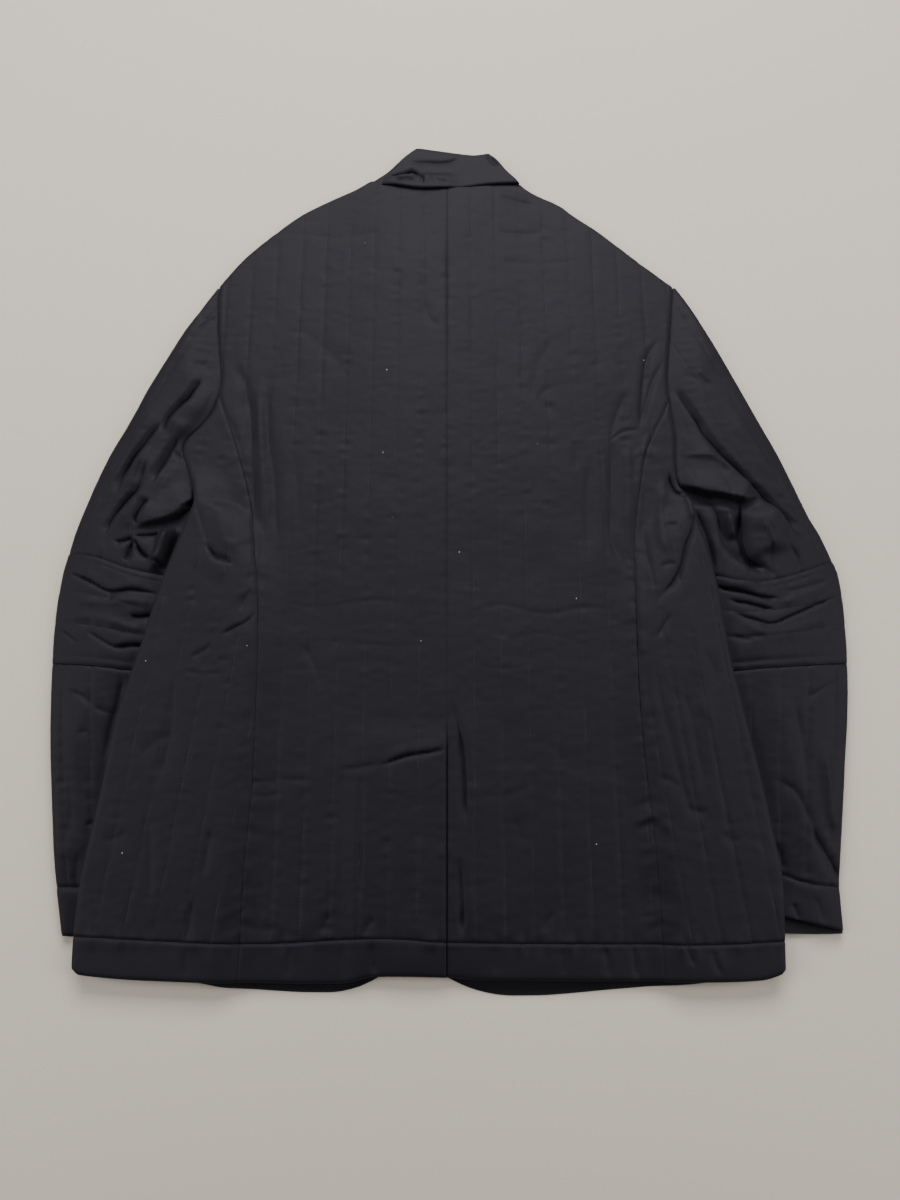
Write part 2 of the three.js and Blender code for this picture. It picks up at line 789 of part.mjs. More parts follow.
/** Both layers of each length of a sleeve: upper sleeve, elbow band, forearm and cuff. */
function sleeve(name, shape) {
  const { sign, outer, sleeveEdge, inner } = shape;
  const edges = leftFirst(sign, sleeveEdge, outer);
  const freeSide = sign < 0 ? { freeLeft: true } : { freeRight: true };
  const lengthwise = (y) => {
    const lean = (outer(y + 10) - outer(y - 10)) / 20;
    const narrowing = y < 0 ? Math.min(1, Math.abs(outer(y) - inner(y)) / 178) : 1;
    const pitch = QUILT_PITCH * Math.hypot(1, lean) * narrowing;
    const lines = Array.from({ length: 9 }, (_, k) => outer(y) - sign * (k + 0.55) * pitch);
    return lines.sort((a, b) => a - b);
  };
  const lengthCloth = quiltedCloth(lengthwise, freeSide);
  const bandCloth = (x, y, s) => {
    const along = even(4).map((v) => Math.abs(y - mix(shape.bandFoot(x), shape.bandTop(x), v)));
    const relief = QUILT_RISE * crown(Math.min(...along));
    return quiltedCloth(() => [], freeSide)(x, y, s) - QUILT_RISE + 0.6 + relief;
  };
  const underTop = (x, y) => PLAIN_CLOTH + LAYER_GAP + 0.3 * sleevePuff(shape, x, y);
  const between = (foot, head, rows) =>
    strips(shifted(foot, SEAM_GAP / 2), shifted(head, -SEAM_GAP / 2), rows, ...edges);
  const bandRows = even(4).flatMap((v, i) => (i < 4 ? [v, v + 0.08, v + 0.17] : [v]));
  const { bandTop, bandFoot, cuffLine, cuffEdge } = shape;
  const lengths = [
    {
      part: "upper_sleeve",
      across: levelStrips(shifted(bandTop, SEAM_GAP / 2), SHOULDER_TIP_Y, ...edges),
      thickness: lengthCloth,
    },
    { part: "elbow_band", across: between(bandFoot, bandTop, bandRows), thickness: bandCloth },
    { part: "forearm", across: between(cuffLine, bandFoot, even(7)), thickness: lengthCloth },
    { part: "cuff", across: between(cuffEdge, cuffLine, [0, 0.15, 0.85, 1]), thickness: lengthCloth },
  ];
  for (const { part, across, thickness } of lengths) {
    const banded = part === "elbow_band";
    const cloth = banded || part === "cuff" ? "trim" : "quilted";
    sew(
      `${part}_${name}_back`,
      cloth,
      slab({
        across,
        top: (x, y, s) => {
          const open = openSleeve(shape, x, y);
          const fromEdge = Math.min(x - s.x0, s.x1 - x);
          const folds = foldRise(x, y) * open * smooth(fromEdge / 8);
          const puff = 0.7 * sleevePuff(shape, x, y);
          return underTop(x, y) + thickness(x, y, s) * mix(PRESSED, 1, open) + puff + folds;
        },
        bottom: underTop,
        topColumns: banded ? plainColumns(12) : (s) => quiltedColumns(s, lengthwise),
      }),
    );
    sew(
      `${part}_${name}_front`,
      cloth,
      slab({
        across: part === "upper_sleeve" ? across : across.filter((_, i) => i % 2 === 0 || i === across.length - 1),
        top: (x, y) => PLAIN_CLOTH + 0.2 * sleevePuff(shape, x, y),
        bottom: () => 0,
        topColumns: plainColumns(PLAIN_COLUMNS),
      }),
    );
  }
}

/** The collar: the fall on top, the stand under it and the front half of the collar under both. */
function collar() {
  const standFloor = PLAIN_CLOTH + LAYER_GAP + BACK_SLACK;
  const standTop = standFloor + CLOTH + 0.4;
  const top = level(COLLAR_TOP);
  const fallEdge = level(COLLAR_FALL_EDGE);
  const [left, fallLeft, right] = ["left", "fallLeft", "right"].map((c) => reader(COLLAR_ENDS, c));
  const neck = flat(NECK_Y + SEAM_GAP);
  const fallFloor = (x, y) => {
    const onStand = standTop + LAYER_GAP;
    const onBack = backFloor(x, NECK_Y) + CLOTH + QUILT_RISE + 2 * LAYER_GAP;
    return mix(onStand, Math.max(onStand, onBack), smooth((NECK_Y + 12 - y) / 10));
  };
  const fallHeight = (x, y, { x0, x1 }) => {
    const fromEdge = Math.min(y - fallEdge(x), top(x) - y, x - x0, x1 - x);
    return fallFloor(x, y) + 1.6 + 1.7 * crown(2 * fromEdge);
  };
  sew(
    "collar_fall",
    "trim",
    slab({
      across: strips(fallEdge, top, [0, 0.06, 0.2, 0.5, 0.8, 0.94, 1], fallLeft, right),
      top: fallHeight,
      bottom: fallFloor,
      topColumns: plainColumns(22),
      bottomColumns: plainColumns(22),
    }),
  );
  const plainLayer = (piece, inset, floor, ceiling) =>
    sew(
      piece,
      "trim",
      slab({
        across: strips(neck, shifted(top, -inset), even(4), shifted(left, inset), shifted(right, -inset)),
        top: flat(ceiling),
        bottom: flat(floor),
        topColumns: plainColumns(PLAIN_COLUMNS),
      }),
    );
  plainLayer("collar_stand", 1, standFloor, standTop);
  plainLayer("collar_front", 2, 0, PLAIN_CLOTH);
}

for (const [name, shape] of Object.entries(SIDES)) {
  backPieces(name, shape);
  front(name, shape);
  sleeve(name, shape);
}
ventUnderlap();
collar();

export default coat;
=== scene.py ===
"""A channel-quilted padded coat laid flat on its front, with its back uppermost.

Every piece that a maker cuts and sews is a closed slab of padded cloth. Its upper and lower faces are grids
that run from one edge of the piece to the other, worked out as whole arrays. Lengths in the tables are
millimetres, x towards the wearer's right, y towards the collar and z up from the surface; meshes are written
in metres.
"""

import logging
import math
from dataclasses import dataclass, field, replace
from enum import Enum
from typing import Callable, Sequence, TypeVar

import bpy
import numpy as np
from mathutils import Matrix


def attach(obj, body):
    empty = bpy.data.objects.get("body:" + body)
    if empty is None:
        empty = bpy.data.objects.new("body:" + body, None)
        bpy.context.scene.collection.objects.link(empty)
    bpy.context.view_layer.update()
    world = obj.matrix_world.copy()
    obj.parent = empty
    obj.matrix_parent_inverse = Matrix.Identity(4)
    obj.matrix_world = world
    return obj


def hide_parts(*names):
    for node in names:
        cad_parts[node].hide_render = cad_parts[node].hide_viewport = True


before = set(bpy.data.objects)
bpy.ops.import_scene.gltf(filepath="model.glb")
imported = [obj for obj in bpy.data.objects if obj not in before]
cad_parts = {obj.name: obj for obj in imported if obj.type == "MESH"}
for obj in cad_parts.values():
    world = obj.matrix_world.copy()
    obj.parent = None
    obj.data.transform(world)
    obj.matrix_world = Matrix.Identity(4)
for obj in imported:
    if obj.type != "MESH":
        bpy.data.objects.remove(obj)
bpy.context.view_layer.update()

log = logging.getLogger("coat")

Array = np.ndarray
Height = Callable[[Array, Array], Array]  # something's height or count at places x, y
EdgeLine = Callable[[Array], Array]  # a line, as y at each x or x at each y
Thing = TypeVar("Thing")

MM = 0.001
QUILT_PITCH = 25.4  # one inch between quilting lines
CLOTH = 3.0  # padded cloth at a stitch line
PLAIN_CLOTH = 3.6  # cloth of the layers that lie underneath
LAYER_GAP = 0.4
BACK_SLACK = 1.8  # air between the fronts and the back
HEM_GAP = 0.1  # gap between a panel and its hem band
SEAM_HAIR = 0.03  # half the gap between two pieces along the seam that joins them
SLEEVE_FLAT = 2 * PLAIN_CLOTH + LAYER_GAP + 0.9  # both layers of a sleeve, where the body lies on them
SLEEVE_PUFF = 4.5  # how far a sleeve stands up in the open
SLEEVE_PUFF_WIDTH = 34.0
BODY_RAMP = 38.0  # width over which the body climbs onto a sleeve
BODY_RISE_SPAN = 42.0  # length over which that climb dies away, going up
LAP_RAMP = 26.0  # width over which one front climbs onto the other
BRIDGED_RAMPS = 3.2  # how many of those widths the padded back bridges
LEAST_WALL = 0.4  # the thinnest that any cloth gets, at its rounded edges
NOISE_KNOTS = 256
SOFTNESS = 1.4  # in square millimetres, of the bend where a fold meets its own underside
FULL_SLEEVE = 178.0  # width of a sleeve whose stitch lines lie a whole pitch apart
OVERHANG = 0.75  # slide of a fold's lip, as a share of its depth times its skew
VENT_CLOTH = 2.5  # the vent's flap, pressed flat
VENT_RISE = 2.0  # how far the flap lifts the left back
VENT_RAMP = 18.0
VENT_RISE_Y = -190.0  # level from which it does so
NECK_Y = 384.0
SHOULDER_TIP_Y = 258.0
CENTRE_X = -3.0
VENT_TOP_Y = -219.0
VENT_FOLD_X = CENTRE_X - 76.0
HEM_QUILT_Y = -384.0  # level of the hem's stitching, from which the stitch lines' places are counted


class Side(Enum):
    """The wearer's two sides; the value is the sign of x."""

    LEFT = -1
    RIGHT = 1

    @property
    def word(self) -> str:
        """The side as it stands in the names of pieces."""
        return self.name.lower()


class Cloth(Enum):
    """Which of the coat's two makes of cloth a piece is cut from; the value is its material slot."""

    QUILTED = "quilted"
    TRIM = "trim"


# --------------------------------------------------------------------------------------------------
# Curves and small functions of arrays


def smooth(t: Array) -> Array:
    """Smoothstep of t held between 0 and 1: t * t * (3 - 2 * t).

    Args:
        t: Any values.

    Returns:
        Values from 0 to 1.
    """
    held = np.clip(t, 0.0, 1.0)
    return held * held * (3.0 - 2.0 * held)


def bell(d: Array, width: float) -> Array:
    """The bell exp(-(d / width) squared)."""
    return np.exp(-np.square(d / width))


def crown(d: Array, shoulder: float = 8.0) -> Array:
    """A channel's share of its full height, 1 - (1 - d / shoulder) squared, at d from its stitch line."""
    return 1.0 - np.square(1.0 - np.clip(d / shoulder, 0.0, 1.0))


class Curve:
    """A cubic through rows of (key, value), with each row's slope taken from its two neighbours."""

    def __init__(self, keys: Sequence[float], values: Sequence[float]) -> None:
        """Keep the rows and work out their slopes.

        Args:
            keys: Rising keys.
            values: One value for each key.
        """
        self.keys = np.asarray(keys, float)
        self.values = np.asarray(values, float)
        before = np.maximum(np.arange(len(self.keys)) - 1, 0)
        after = np.minimum(np.arange(len(self.keys)) + 1, len(self.keys) - 1)
        self.slopes = (self.values[after] - self.values[before]) / (self.keys[after] - self.keys[before])

    def __call__(self, at: Array | float) -> Array:
        """Value at each key, as the Hermite cubic of the span it falls in.

        Args:
            at: Keys; those beyond the ends take the end's value.

        Returns:
            The values, in the shape of the keys.
        """
        at = np.asarray(at, float)
        i = np.clip(np.searchsorted(self.keys, at) - 1, 0, len(self.keys) - 2)
        span = self.keys[i + 1] - self.keys[i]
        t = np.clip((at - self.keys[i]) / span, 0.0, 1.0)
        t2, t3 = t * t, t * t * t
        return (
            (2 * t3 - 3 * t2 + 1) * self.values[i]
            + (t3 - 2 * t2 + t) * span * self.slopes[i]
            + (3 * t2 - 2 * t3) * self.values[i + 1]
            + (t3 - t2) * span * self.slopes[i + 1]
        )


def left_first(sign: int, inner: Thing, outer: Thing) -> tuple[Thing, Thing]:
    """Two things of one side, from the coat's centre outwards, put in order from left to right."""
    return (inner, outer) if sign > 0 else (outer, inner)


def curve(rows: Sequence[Sequence[float]], column: int = 1) -> Curve:
    """The curve through one column of a table whose first column is the key."""
    return Curve([row[0] for row in rows], [row[column] for row in rows])


def level(value: float) -> EdgeLine:
    """A curve that has one value everywhere."""
    return lambda at: np.full_like(np.asarray(at, float), value)


def noise(x: Array, y: Array, size_x: float, size_y: float, seed: int) -> Array:
    """Soft seeded noise from about -2 to 2: random heights at the knots of a grid, eased between them.

    Args:
        x: Places across, in millimetres.
        y: Places along.
        size_x: Grid spacing across.
        size_y: Grid spacing along.
        seed: Which grid of random heights.

    Returns:
        The noise at each place.
    """
    knots = np.random.default_rng(seed).standard_normal((NOISE_KNOTS, NOISE_KNOTS))
    u, v = x / size_x + 128.37, y / size_y + 128.71
    i, j = np.floor(u).astype(int), np.floor(v).astype(int)
    s, t = smooth(u - i), smooth(v - j)

    def knot(di: int, dj: int) -> Array:
        """Height of the knot that many steps across and along from each place's own."""
        return knots[(j + dj) % NOISE_KNOTS, (i + di) % NOISE_KNOTS]

    low = knot(0, 0) * (1 - s) + knot(1, 0) * s
    high = knot(0, 1) * (1 - s) + knot(1, 1) * s
    return low * (1 - t) + high * t


# --------------------------------------------------------------------------------------------------
# The pattern: outlines of the pieces

BODY = (  # y, left side edge, left long seam, right long seam, right side edge
    (-428, -319, -182, 184, 283),
    (-384, -322, -180.5, 183, 286),
    (-331, -321, -180.5, 182, 289),
    (-290, -315.5, -178.5, 180, 284),
    (-248, -310, -176.5, 177, 278),
    (-190, -303, -177, 174, 268),
    (-130, -288, -178, 174, 258),
    (-65, -273, -182, 175.5, 252),
    (-32, -263, -186.5, 176.5, 246),
    (0, -253, -191, 180, 237),
    (20, -248, -195, 183, 234),
    (45, -254, -201.5, 187, 228),
    (70, -264, -209.5, 192.5, 224),
    (95, -268, -218, 203.5, 223),
    (116, -268, -226, 214.8, 223),
    (134, -268, -232.5, 220, 223),
)
ARMHOLE_LEFT = (
    (70, -264.5), (84, -262), (100, -249), (116, -238), (134, -232.5), (154, -231), (188, -235),
    (223, -238.5), (245, -239.5), (258, -239.5),
)
ARMHOLE_RIGHT = (
    (22, 234), (35, 224), (54, 221.5), (93, 223), (119, 220), (154, 219), (188, 223), (223, 227.5),
    (245, 230), (258, 231),
)
SHOULDER_LEFT = (
    (258, -239.5), (266, -235), (295, -213), (322, -185), (344, -159), (359, -134), (376, -99),
    (384, -87),
)
SHOULDER_RIGHT = (
    (258, 231), (265, 223), (286, 199), (323, 158), (343, 132), (356, 117), (372, 88), (384, 74),
)
SLEEVES = (  # y, left outer, left inner, right inner, right outer
    (-378, -336.5, -205, 208, 341),
    (-335, -346, -200, 204, 342),
    (-290, -354, -197, 199, 349),
    (-233, -362, -194, 193, 358),
    (-188, -367, -192, 191, 365.5),
    (-140, -371, -191, 190, 370.5),
    (-96, -372.5, -193, 193, 372.5),
    (-54, -370, -199, 201, 371),
    (-33, -366.5, -205, 209, 364.5),
    (-14, -363, -213, 218, 357.5),
    (2, -359, -224, 231, 350),
    (12, -356, -236, 238, 346),
    (20, -353.5, -249.5, 237, 343),
    (37, -348.5, -253, 229, 337),
    (69, -337, -265, 224.6, 325),
    (103, -321, -269, 224, 310),
    (140, -306, -269, 224, 294),
    (174, -290, -269, 224, 279),
    (206, -274, -269, 224, 264),
    (234, -257, -269, 224, 250),
    (258, -243, -269, 224, 236),
)
HEM_STITCHES = curve(
    ((-322, -378), (-246, -382), (-162, -385), (-60, -380.5), (6, -384), (84, -385), (224, -385), (286, -382))
)
HEM_FOOT = curve(
    (
        (-320, -405), (-314, -409), (-258, -413.5), (-133, -417), (-90, -416.5), (-66, -411.5), (-3, -412),
        (28, -414.5), (195, -415), (262, -413.5), (280, -409), (284, -406),
    )
)
FRONT_HEMS = {
    Side.LEFT: curve(
        ((-320, -404), (-300, -408), (-218, -415.7), (-190, -420.5), (-134, -424.5), (-106, -425))
    ),
    Side.RIGHT: curve(((55, -427.5), (84, -427), (140, -422.5), (213, -416.5), (262, -409), (284, -404))),
}
BAND_TOPS = {
    Side.LEFT: curve(((-368, -33), (-337, -38), (-305, -49), (-276, -54), (-190, -62))),
    Side.RIGHT: curve(((190, -52), (255, -55.5), (270, -60), (294, -62), (326, -55.5), (366, -41))),
}
BAND_FEET = {
    Side.LEFT: curve(((-372, -140), (-333, -142.5), (-295, -146), (-190, -152))),
    Side.RIGHT: curve(((190, -150), (263, -146.5), (303, -144), (371, -140))),
}
CUFF_LINES = {
    Side.LEFT: curve(((-350, -338), (-205, -342))),
    Side.RIGHT: curve(((200, -318), (291, -328), (314, -335), (346, -339))),
}
CUFF_EDGES = {
    Side.LEFT: curve(((-350, -378), (-205, -380))),
    Side.RIGHT: curve(((200, -358), (290, -364), (320, -370), (346, -376))),
}
CUFF_UNDER_EDGES = {
    Side.LEFT: curve(((-350, -378.5), (-290, -381), (-205, -382))),
    Side.RIGHT: curve(((200, -376), (290, -377), (320, -377.5), (346, -377))),
}
COLLAR_TOP = curve(
    ((-90, 427.5), (-36, 427.5), (-14, 424.3), (24, 418.5), (34, 419.5), (43, 421), (90, 421))
)
COLLAR_FALL_EDGE = curve(
    ((-90, 381), (-58, 377), (-32, 373), (-8, 374), (17, 376.5), (40, 380), (70, 381.7), (90, 381.7))
)
COLLAR_ENDS = (  # y, left end, left end of the fall, right end
    (373, -97, -76, 80),
    (387, -83, -70, 71),
    (398, -69, -63, 61.5),
    (413, -55, -52, 50.5),
    (427.5, -37, -36.5, 35),
)


@dataclass(frozen=True)
class Corner:
    """A front's rounded lower corner: a quarter ellipse from its centre edge to its hem's lowest point."""

    edge_x: float
    centre_x: float
    centre_y: float
    hem_y: float

    def edge(self, y: Array) -> Array:
        """The front's centre edge at level y: centre_x + reach * sqrt(1 - drop squared).

        Args:
            y: Levels up the coat.

        Returns:
            The edge's x at each level.
        """
        drop = np.clip((self.centre_y - np.asarray(y, float)) / (self.centre_y - self.hem_y), 0.0, 1.0)
        return self.centre_x + (self.edge_x - self.centre_x) * np.sqrt(1.0 - drop * drop)


CORNERS = {Side.LEFT: Corner(-12, -106, -320, -425), Side.RIGHT: Corner(-58, 55, -320, -427.5)}


@dataclass(frozen=True)
class Pattern:
    """The outlines of one side of the coat, as x at each level.

    underarm, seam_head and side_head are the levels where the armhole starts, where the long seam runs into
    it and where the side panel ends. on_sleeve_y is the level below which the body lies wholly on the sleeve.
    """

    side: Side
    armhole: Curve
    shoulder: Curve
    body_side: Curve
    long_seam: Curve
    outer: Curve
    inner: Curve
    underarm: float
    seam_head: float
    side_head: float
    on_sleeve_y: float

    @property
    def sign(self) -> int:
        """The sign of x on this side."""
        return self.side.value

    def back_edge(self, y: Array) -> Array:
        """Outer edge of the centre back: long seam, then armhole, then shoulder."""
        above = np.where(y < SHOULDER_TIP_Y, self.armhole(y), self.shoulder(y))
        return np.where(y < self.seam_head, self.long_seam(y), above)

    def body_edge(self, y: Array) -> Array:
        """Outer edge of the body: side edge, then armhole, then shoulder."""
        above = np.where(y < SHOULDER_TIP_Y, self.armhole(y), self.shoulder(y))
        return np.where(y < self.underarm, self.body_side(y), above)

    def sleeve_edge(self, y: Array) -> Array:
        """The sleeve's edge towards the body: at least 5 mm under the body, then along the armhole.

        Args:
            y: Levels up the coat.

        Returns:
            The edge's x at each level.
        """
        tucked = np.abs(self.body_side(y)) - 5 * smooth((self.underarm - y) / 10)
        hidden = self.sign * np.minimum(np.abs(self.inner(y)), tucked)
        return np.where(y < self.underarm, hidden, self.armhole(y) + self.sign * 0.2)


PATTERNS = {
    side: Pattern(
        side,
        curve(armhole),
        curve(shoulder),
        curve(BODY, edge),
        curve(BODY, seam),
        curve(SLEEVES, edge),
        curve(SLEEVES, seam),
        *levels,
    )
    for side, armhole, shoulder, edge, seam, levels in (
        (Side.LEFT, ARMHOLE_LEFT, SHOULDER_LEFT, 1, 2, (70, 134, 133.4, 22)),
        (Side.RIGHT, ARMHOLE_RIGHT, SHOULDER_RIGHT, 4, 3, (22, 126, 125.4, 3)),
    )
}


# --------------------------------------------------------------------------------------------------
# How the layers lie on each other


class Stack:
    """Heights of the layers, each worked out from the one below."""

    @staticmethod
    def body_floor(x: Array, y: Array) -> Array:
        """How far the sleeves under the body lift it: a ramp across each, fading out above the underarm.

        Args:
            x: Places across.
            y: Places along.

        Returns:
            Height of the fronts' underside.
        """
        floor = np.zeros_like(x)
        for pattern in PATTERNS.values():
            inner = pattern.inner(y)
            across = 1 + (pattern.sign * x - pattern.sign * inner + 2) / BODY_RAMP
            along = (pattern.on_sleeve_y + BODY_RISE_SPAN - y) / BODY_RISE_SPAN
            floor = np.maximum(floor, (SLEEVE_FLAT + LAYER_GAP) * smooth(along) * smooth(across))
        return floor

    @staticmethod
    def lap_rise(x: Array, y: Array) -> Array:
        """Extra height of the right front over the left one, down to 0 across LAP_RAMP."""
        return (PLAIN_CLOTH + LAYER_GAP) * (1 - smooth((x - CORNERS[Side.LEFT].edge(y)) / LAP_RAMP))

    @classmethod
    def front_top(cls, x: Array, y: Array) -> Array:
        """Top of the fronts as the back lies on it, with the lap eased at both of its edges."""
        both = smooth((x - CORNERS[Side.RIGHT].edge(y) + LAP_RAMP) / LAP_RAMP)
        return cls.body_floor(x, y) + PLAIN_CLOTH + cls.lap_rise(x, y) * both

    @classmethod
    def back_floor(cls, x: Array, y: Array, over_flap: bool = False) -> Array:
        """Underside of the back and side panels.

        Args:
            x: Places across.
            y: Places along.
            over_flap: Whether the piece lies on the vent's flap, as the left back does.

        Returns:
            Height of the underside.
        """
        floor = cls.front_top(x, y) + LAYER_GAP + BACK_SLACK
        if over_flap:
            across = smooth((x - VENT_FOLD_X) / VENT_RAMP + 1)
            floor = floor + VENT_RISE * across * smooth((VENT_RISE_Y - y) / (VENT_RISE_Y - VENT_TOP_Y))
        return floor

    @classmethod
    def back_bridge(cls, x: Array, y: Array) -> Array:
        """How far the padded back bridges over the fronts' lap, so that the lap hardly shows from above.

        Args:
            x: Places across.
            y: Places along.

        Returns:
            Height to add, 0 over the lap itself.
        """
        left = 1 - smooth((x - CORNERS[Side.LEFT].edge(y)) / (BRIDGED_RAMPS * LAP_RAMP))
        right = smooth((x - CORNERS[Side.RIGHT].edge(y)) / (BRIDGED_RAMPS * LAP_RAMP) + 1)
        lap = cls.front_top(x, y) - cls.body_floor(x, y) - PLAIN_CLOTH
        return np.maximum(0.0, (PLAIN_CLOTH + LAYER_GAP) * left * right - lap)

    @staticmethod
    def sleeve_puff(pattern: Pattern, x: Array, y: Array) -> Array:
        """How far a sleeve rises in the open: nothing at its outer edge or under the body.

        Args:
            pattern: The side's outlines.
            x: Places across.
            y: Places along.

        Returns:
            The rise.
        """
        from_outer = pattern.sign * (pattern.outer(y) - x)
        from_body = pattern.sign * (x - pattern.body_edge(y)) - 3
        inward = 1 - np.clip(from_outer / SLEEVE_PUFF_WIDTH, 0.0, 1.0)
        return SLEEVE_PUFF * np.sqrt(1 - inward * inward) * smooth(from_body / SLEEVE_PUFF_WIDTH)

    @staticmethod
    def open_sleeve(pattern: Pattern, x: Array, y: Array) -> Array:
        """1 where a sleeve lies in the open and 0 under the body, eased over 12 mm."""
        return smooth((pattern.sign * (x - pattern.body_edge(y)) - 1) / 12)


# --------------------------------------------------------------------------------------------------
# Creases, puckers and quilting


@dataclass(frozen=True)
class NearLine:
    """The places of a grid near a line: which they are, each one's distance and side, and how far along.

    towards holds two rows, across and along, of the unit step from each place towards the line.
    """

    near: Array
    distance: Array
    above: Array
    share: Array
    towards: Array

    @property
    def ends(self) -> Array:
        """1 along the middle of the line, easing down over a third of its length at both ends."""
        return smooth(3.4 * self.share + 0.1) * smooth(3.4 * (1 - self.share) + 0.1)

    @property
    def belly(self) -> Array:
        """1 halfway along the line and 0 at both ends, round between: sqrt(4 * share * (1 - share))."""
        return np.sqrt(np.clip(4 * self.share * (1 - self.share), 0.0, 1.0))


def near_line(points: Sequence[tuple[float, float]], reach: float, x: Array, y: Array) -> NearLine | None:
    """Measure a grid against the smoothed line through some points, each place from its nearest span.

    Args:
        points: The points, in millimetres.
        reach: How far from the line matters.
        x: Places across.
        y: Places along.

    Returns:
        The places within reach, with above being the side towards the collar, or None where there are none.
    """
    corners = np.asarray(points, float)
    length = np.concatenate(([0.0], np.cumsum(np.hypot(*np.diff(corners, axis=0).T))))
    at = np.linspace(0.0, length[-1], max(6, int(length[-1] / 5)))
    line = np.column_stack((Curve(length, corners[:, 0])(at), Curve(length, corners[:, 1])(at)))
    low, high = line.min(0) - reach, line.max(0) + reach
    near = (x > low[0]) & (x < high[0]) & (y > low[1]) & (y < high[1])
    if not near.any():
        return None
    start, step = line[:-1], np.diff(line, axis=0)
    away_x = x[near][:, None] - start[:, 0]
    away_y = y[near][:, None] - start[:, 1]
    t = np.clip((away_x * step[:, 0] + away_y * step[:, 1]) / (step**2).sum(1), 0.0, 1.0)
    off_x = away_x - t * step[:, 0]
    off_y = away_y - t * step[:, 1]
    distance = np.hypot(off_x, off_y)
    nearest = distance.argmin(1)[:, None]
    turn = step[:, 0] * off_y - step[:, 1] * off_x
    on_left = np.take_along_axis(turn, nearest, 1)[:, 0] > 0
    above = on_left == (line[-1, 0] >= line[0, 0])
    share = (nearest[:, 0] + np.take_along_axis(t, nearest, 1)[:, 0]) / len(step)
    closest = np.take_along_axis(distance, nearest, 1)[:, 0]
    off = np.stack((np.take_along_axis(off_x, nearest, 1)[:, 0], np.take_along_axis(off_y, nearest, 1)[:, 0]))
    return NearLine(near, closest, above, share, -off / np.maximum(closest, 0.01))


@dataclass(frozen=True)
class Relief:
    """What folds do to a grid: raise each place, and slide it across and along, in millimetres."""

    rise: Array
    across: Array
    along: Array

    @classmethod
    def flat(cls, x: Array) -> "Relief":
        """A relief with no folds in it yet."""
        return cls(np.zeros_like(x), np.zeros_like(x), np.zeros_like(x))

    def faded(self, share: Array, slide_share: Array) -> "Relief":
        """The relief with its rise and its slide each reduced to a share."""
        return Relief(self.rise * share, self.across * slide_share, self.along * slide_share)


@dataclass(frozen=True)
class Crease:
    """A fold along a line of points: with a rise below 0 it is a trough, above 0 a soft ridge.

    A ridge is rise * bell(distance, width). A trough is a saw tooth with a soft tip: on its wide side it
    falls to the line as exp(-distance), or straighter the more it is skewed, and on its steep side it comes
    straight up again to cloth that stands a little proud and settles slowly. The steep side is the one
    towards the collar, or the other one where skew is below 0. Its proud cloth slides over the trough, the
    more so the deeper and more skewed the fold is, so that a strong fold overhangs. Both kinds are narrower
    at their ends and uneven in depth.
    """

    name: str
    rise: float
    width: float
    skew: float
    points: tuple[tuple[float, float], ...]

    def profile(self, reach: Array, steep: Array) -> Array:
        """Height at a distance from the line.

        Args:
            reach: Distances, counted in widths.
            steep: Which places lie on the steep side.

        Returns:
            The height, before the ends fade.
        """
        if self.rise > 0:
            return self.rise * bell(reach, 1.0)
        lean = abs(self.skew)
        near = reach / np.where(steep, 1 - 0.9 * lean, 1 + 0.5 * lean)
        soft = np.exp(0.25 - np.sqrt(near * near + 0.0625)) * (1 - smooth((near - 2.2) / 1.8))
        straight = np.clip(1 - near / 1.5, 0.0, 1.0) ** 1.25
        trough = np.where(steep, soft, soft + (straight - soft) * lean)
        proud = (0.04 + 0.3 * lean) * smooth((reach - 0.3) / 1.2) * (1 - smooth((reach - 1.6) / 4.4))
        return self.rise * (trough - proud * steep)

    def slide(self, reach: Array, steep: Array) -> Array:
        """How far the cloth slides towards the line, as a share of overhang * depth * skew.

        Args:
            reach: Distances, counted in widths.
            steep: Which places lie on the steep side.

        Returns:
            The slide, in millimetres, before the ends fade.
        """
        depth = max(-self.rise, 0.0)
        lip = smooth(reach / 0.5) * (1 - smooth((reach - 0.5) / 2.6))
        return OVERHANG * depth * abs(self.skew) * lip * steep

    def add_to(self, relief: Relief, x: Array, y: Array) -> None:
        """Add the fold to a relief in place.

        Args:
            relief: The grid's relief, changed in place.
            x: Places across.
            y: Places along.
        """
        line = near_line(self.points, 6.0 * self.width, x, y)
        if line is None:
            return
        reach = line.distance / (self.width * (0.55 + 0.45 * line.belly))
        uneven = 1 + 0.24 * noise(x[line.near], y[line.near], 17.0, 17.0, 27)
        steep = line.above == (self.skew >= 0)
        relief.rise[line.near] += line.ends * uneven * self.profile(reach, steep)
        step = line.ends * self.slide(reach, steep) * line.towards
        relief.across[line.near] += step[0]
        relief.along[line.near] += step[1]


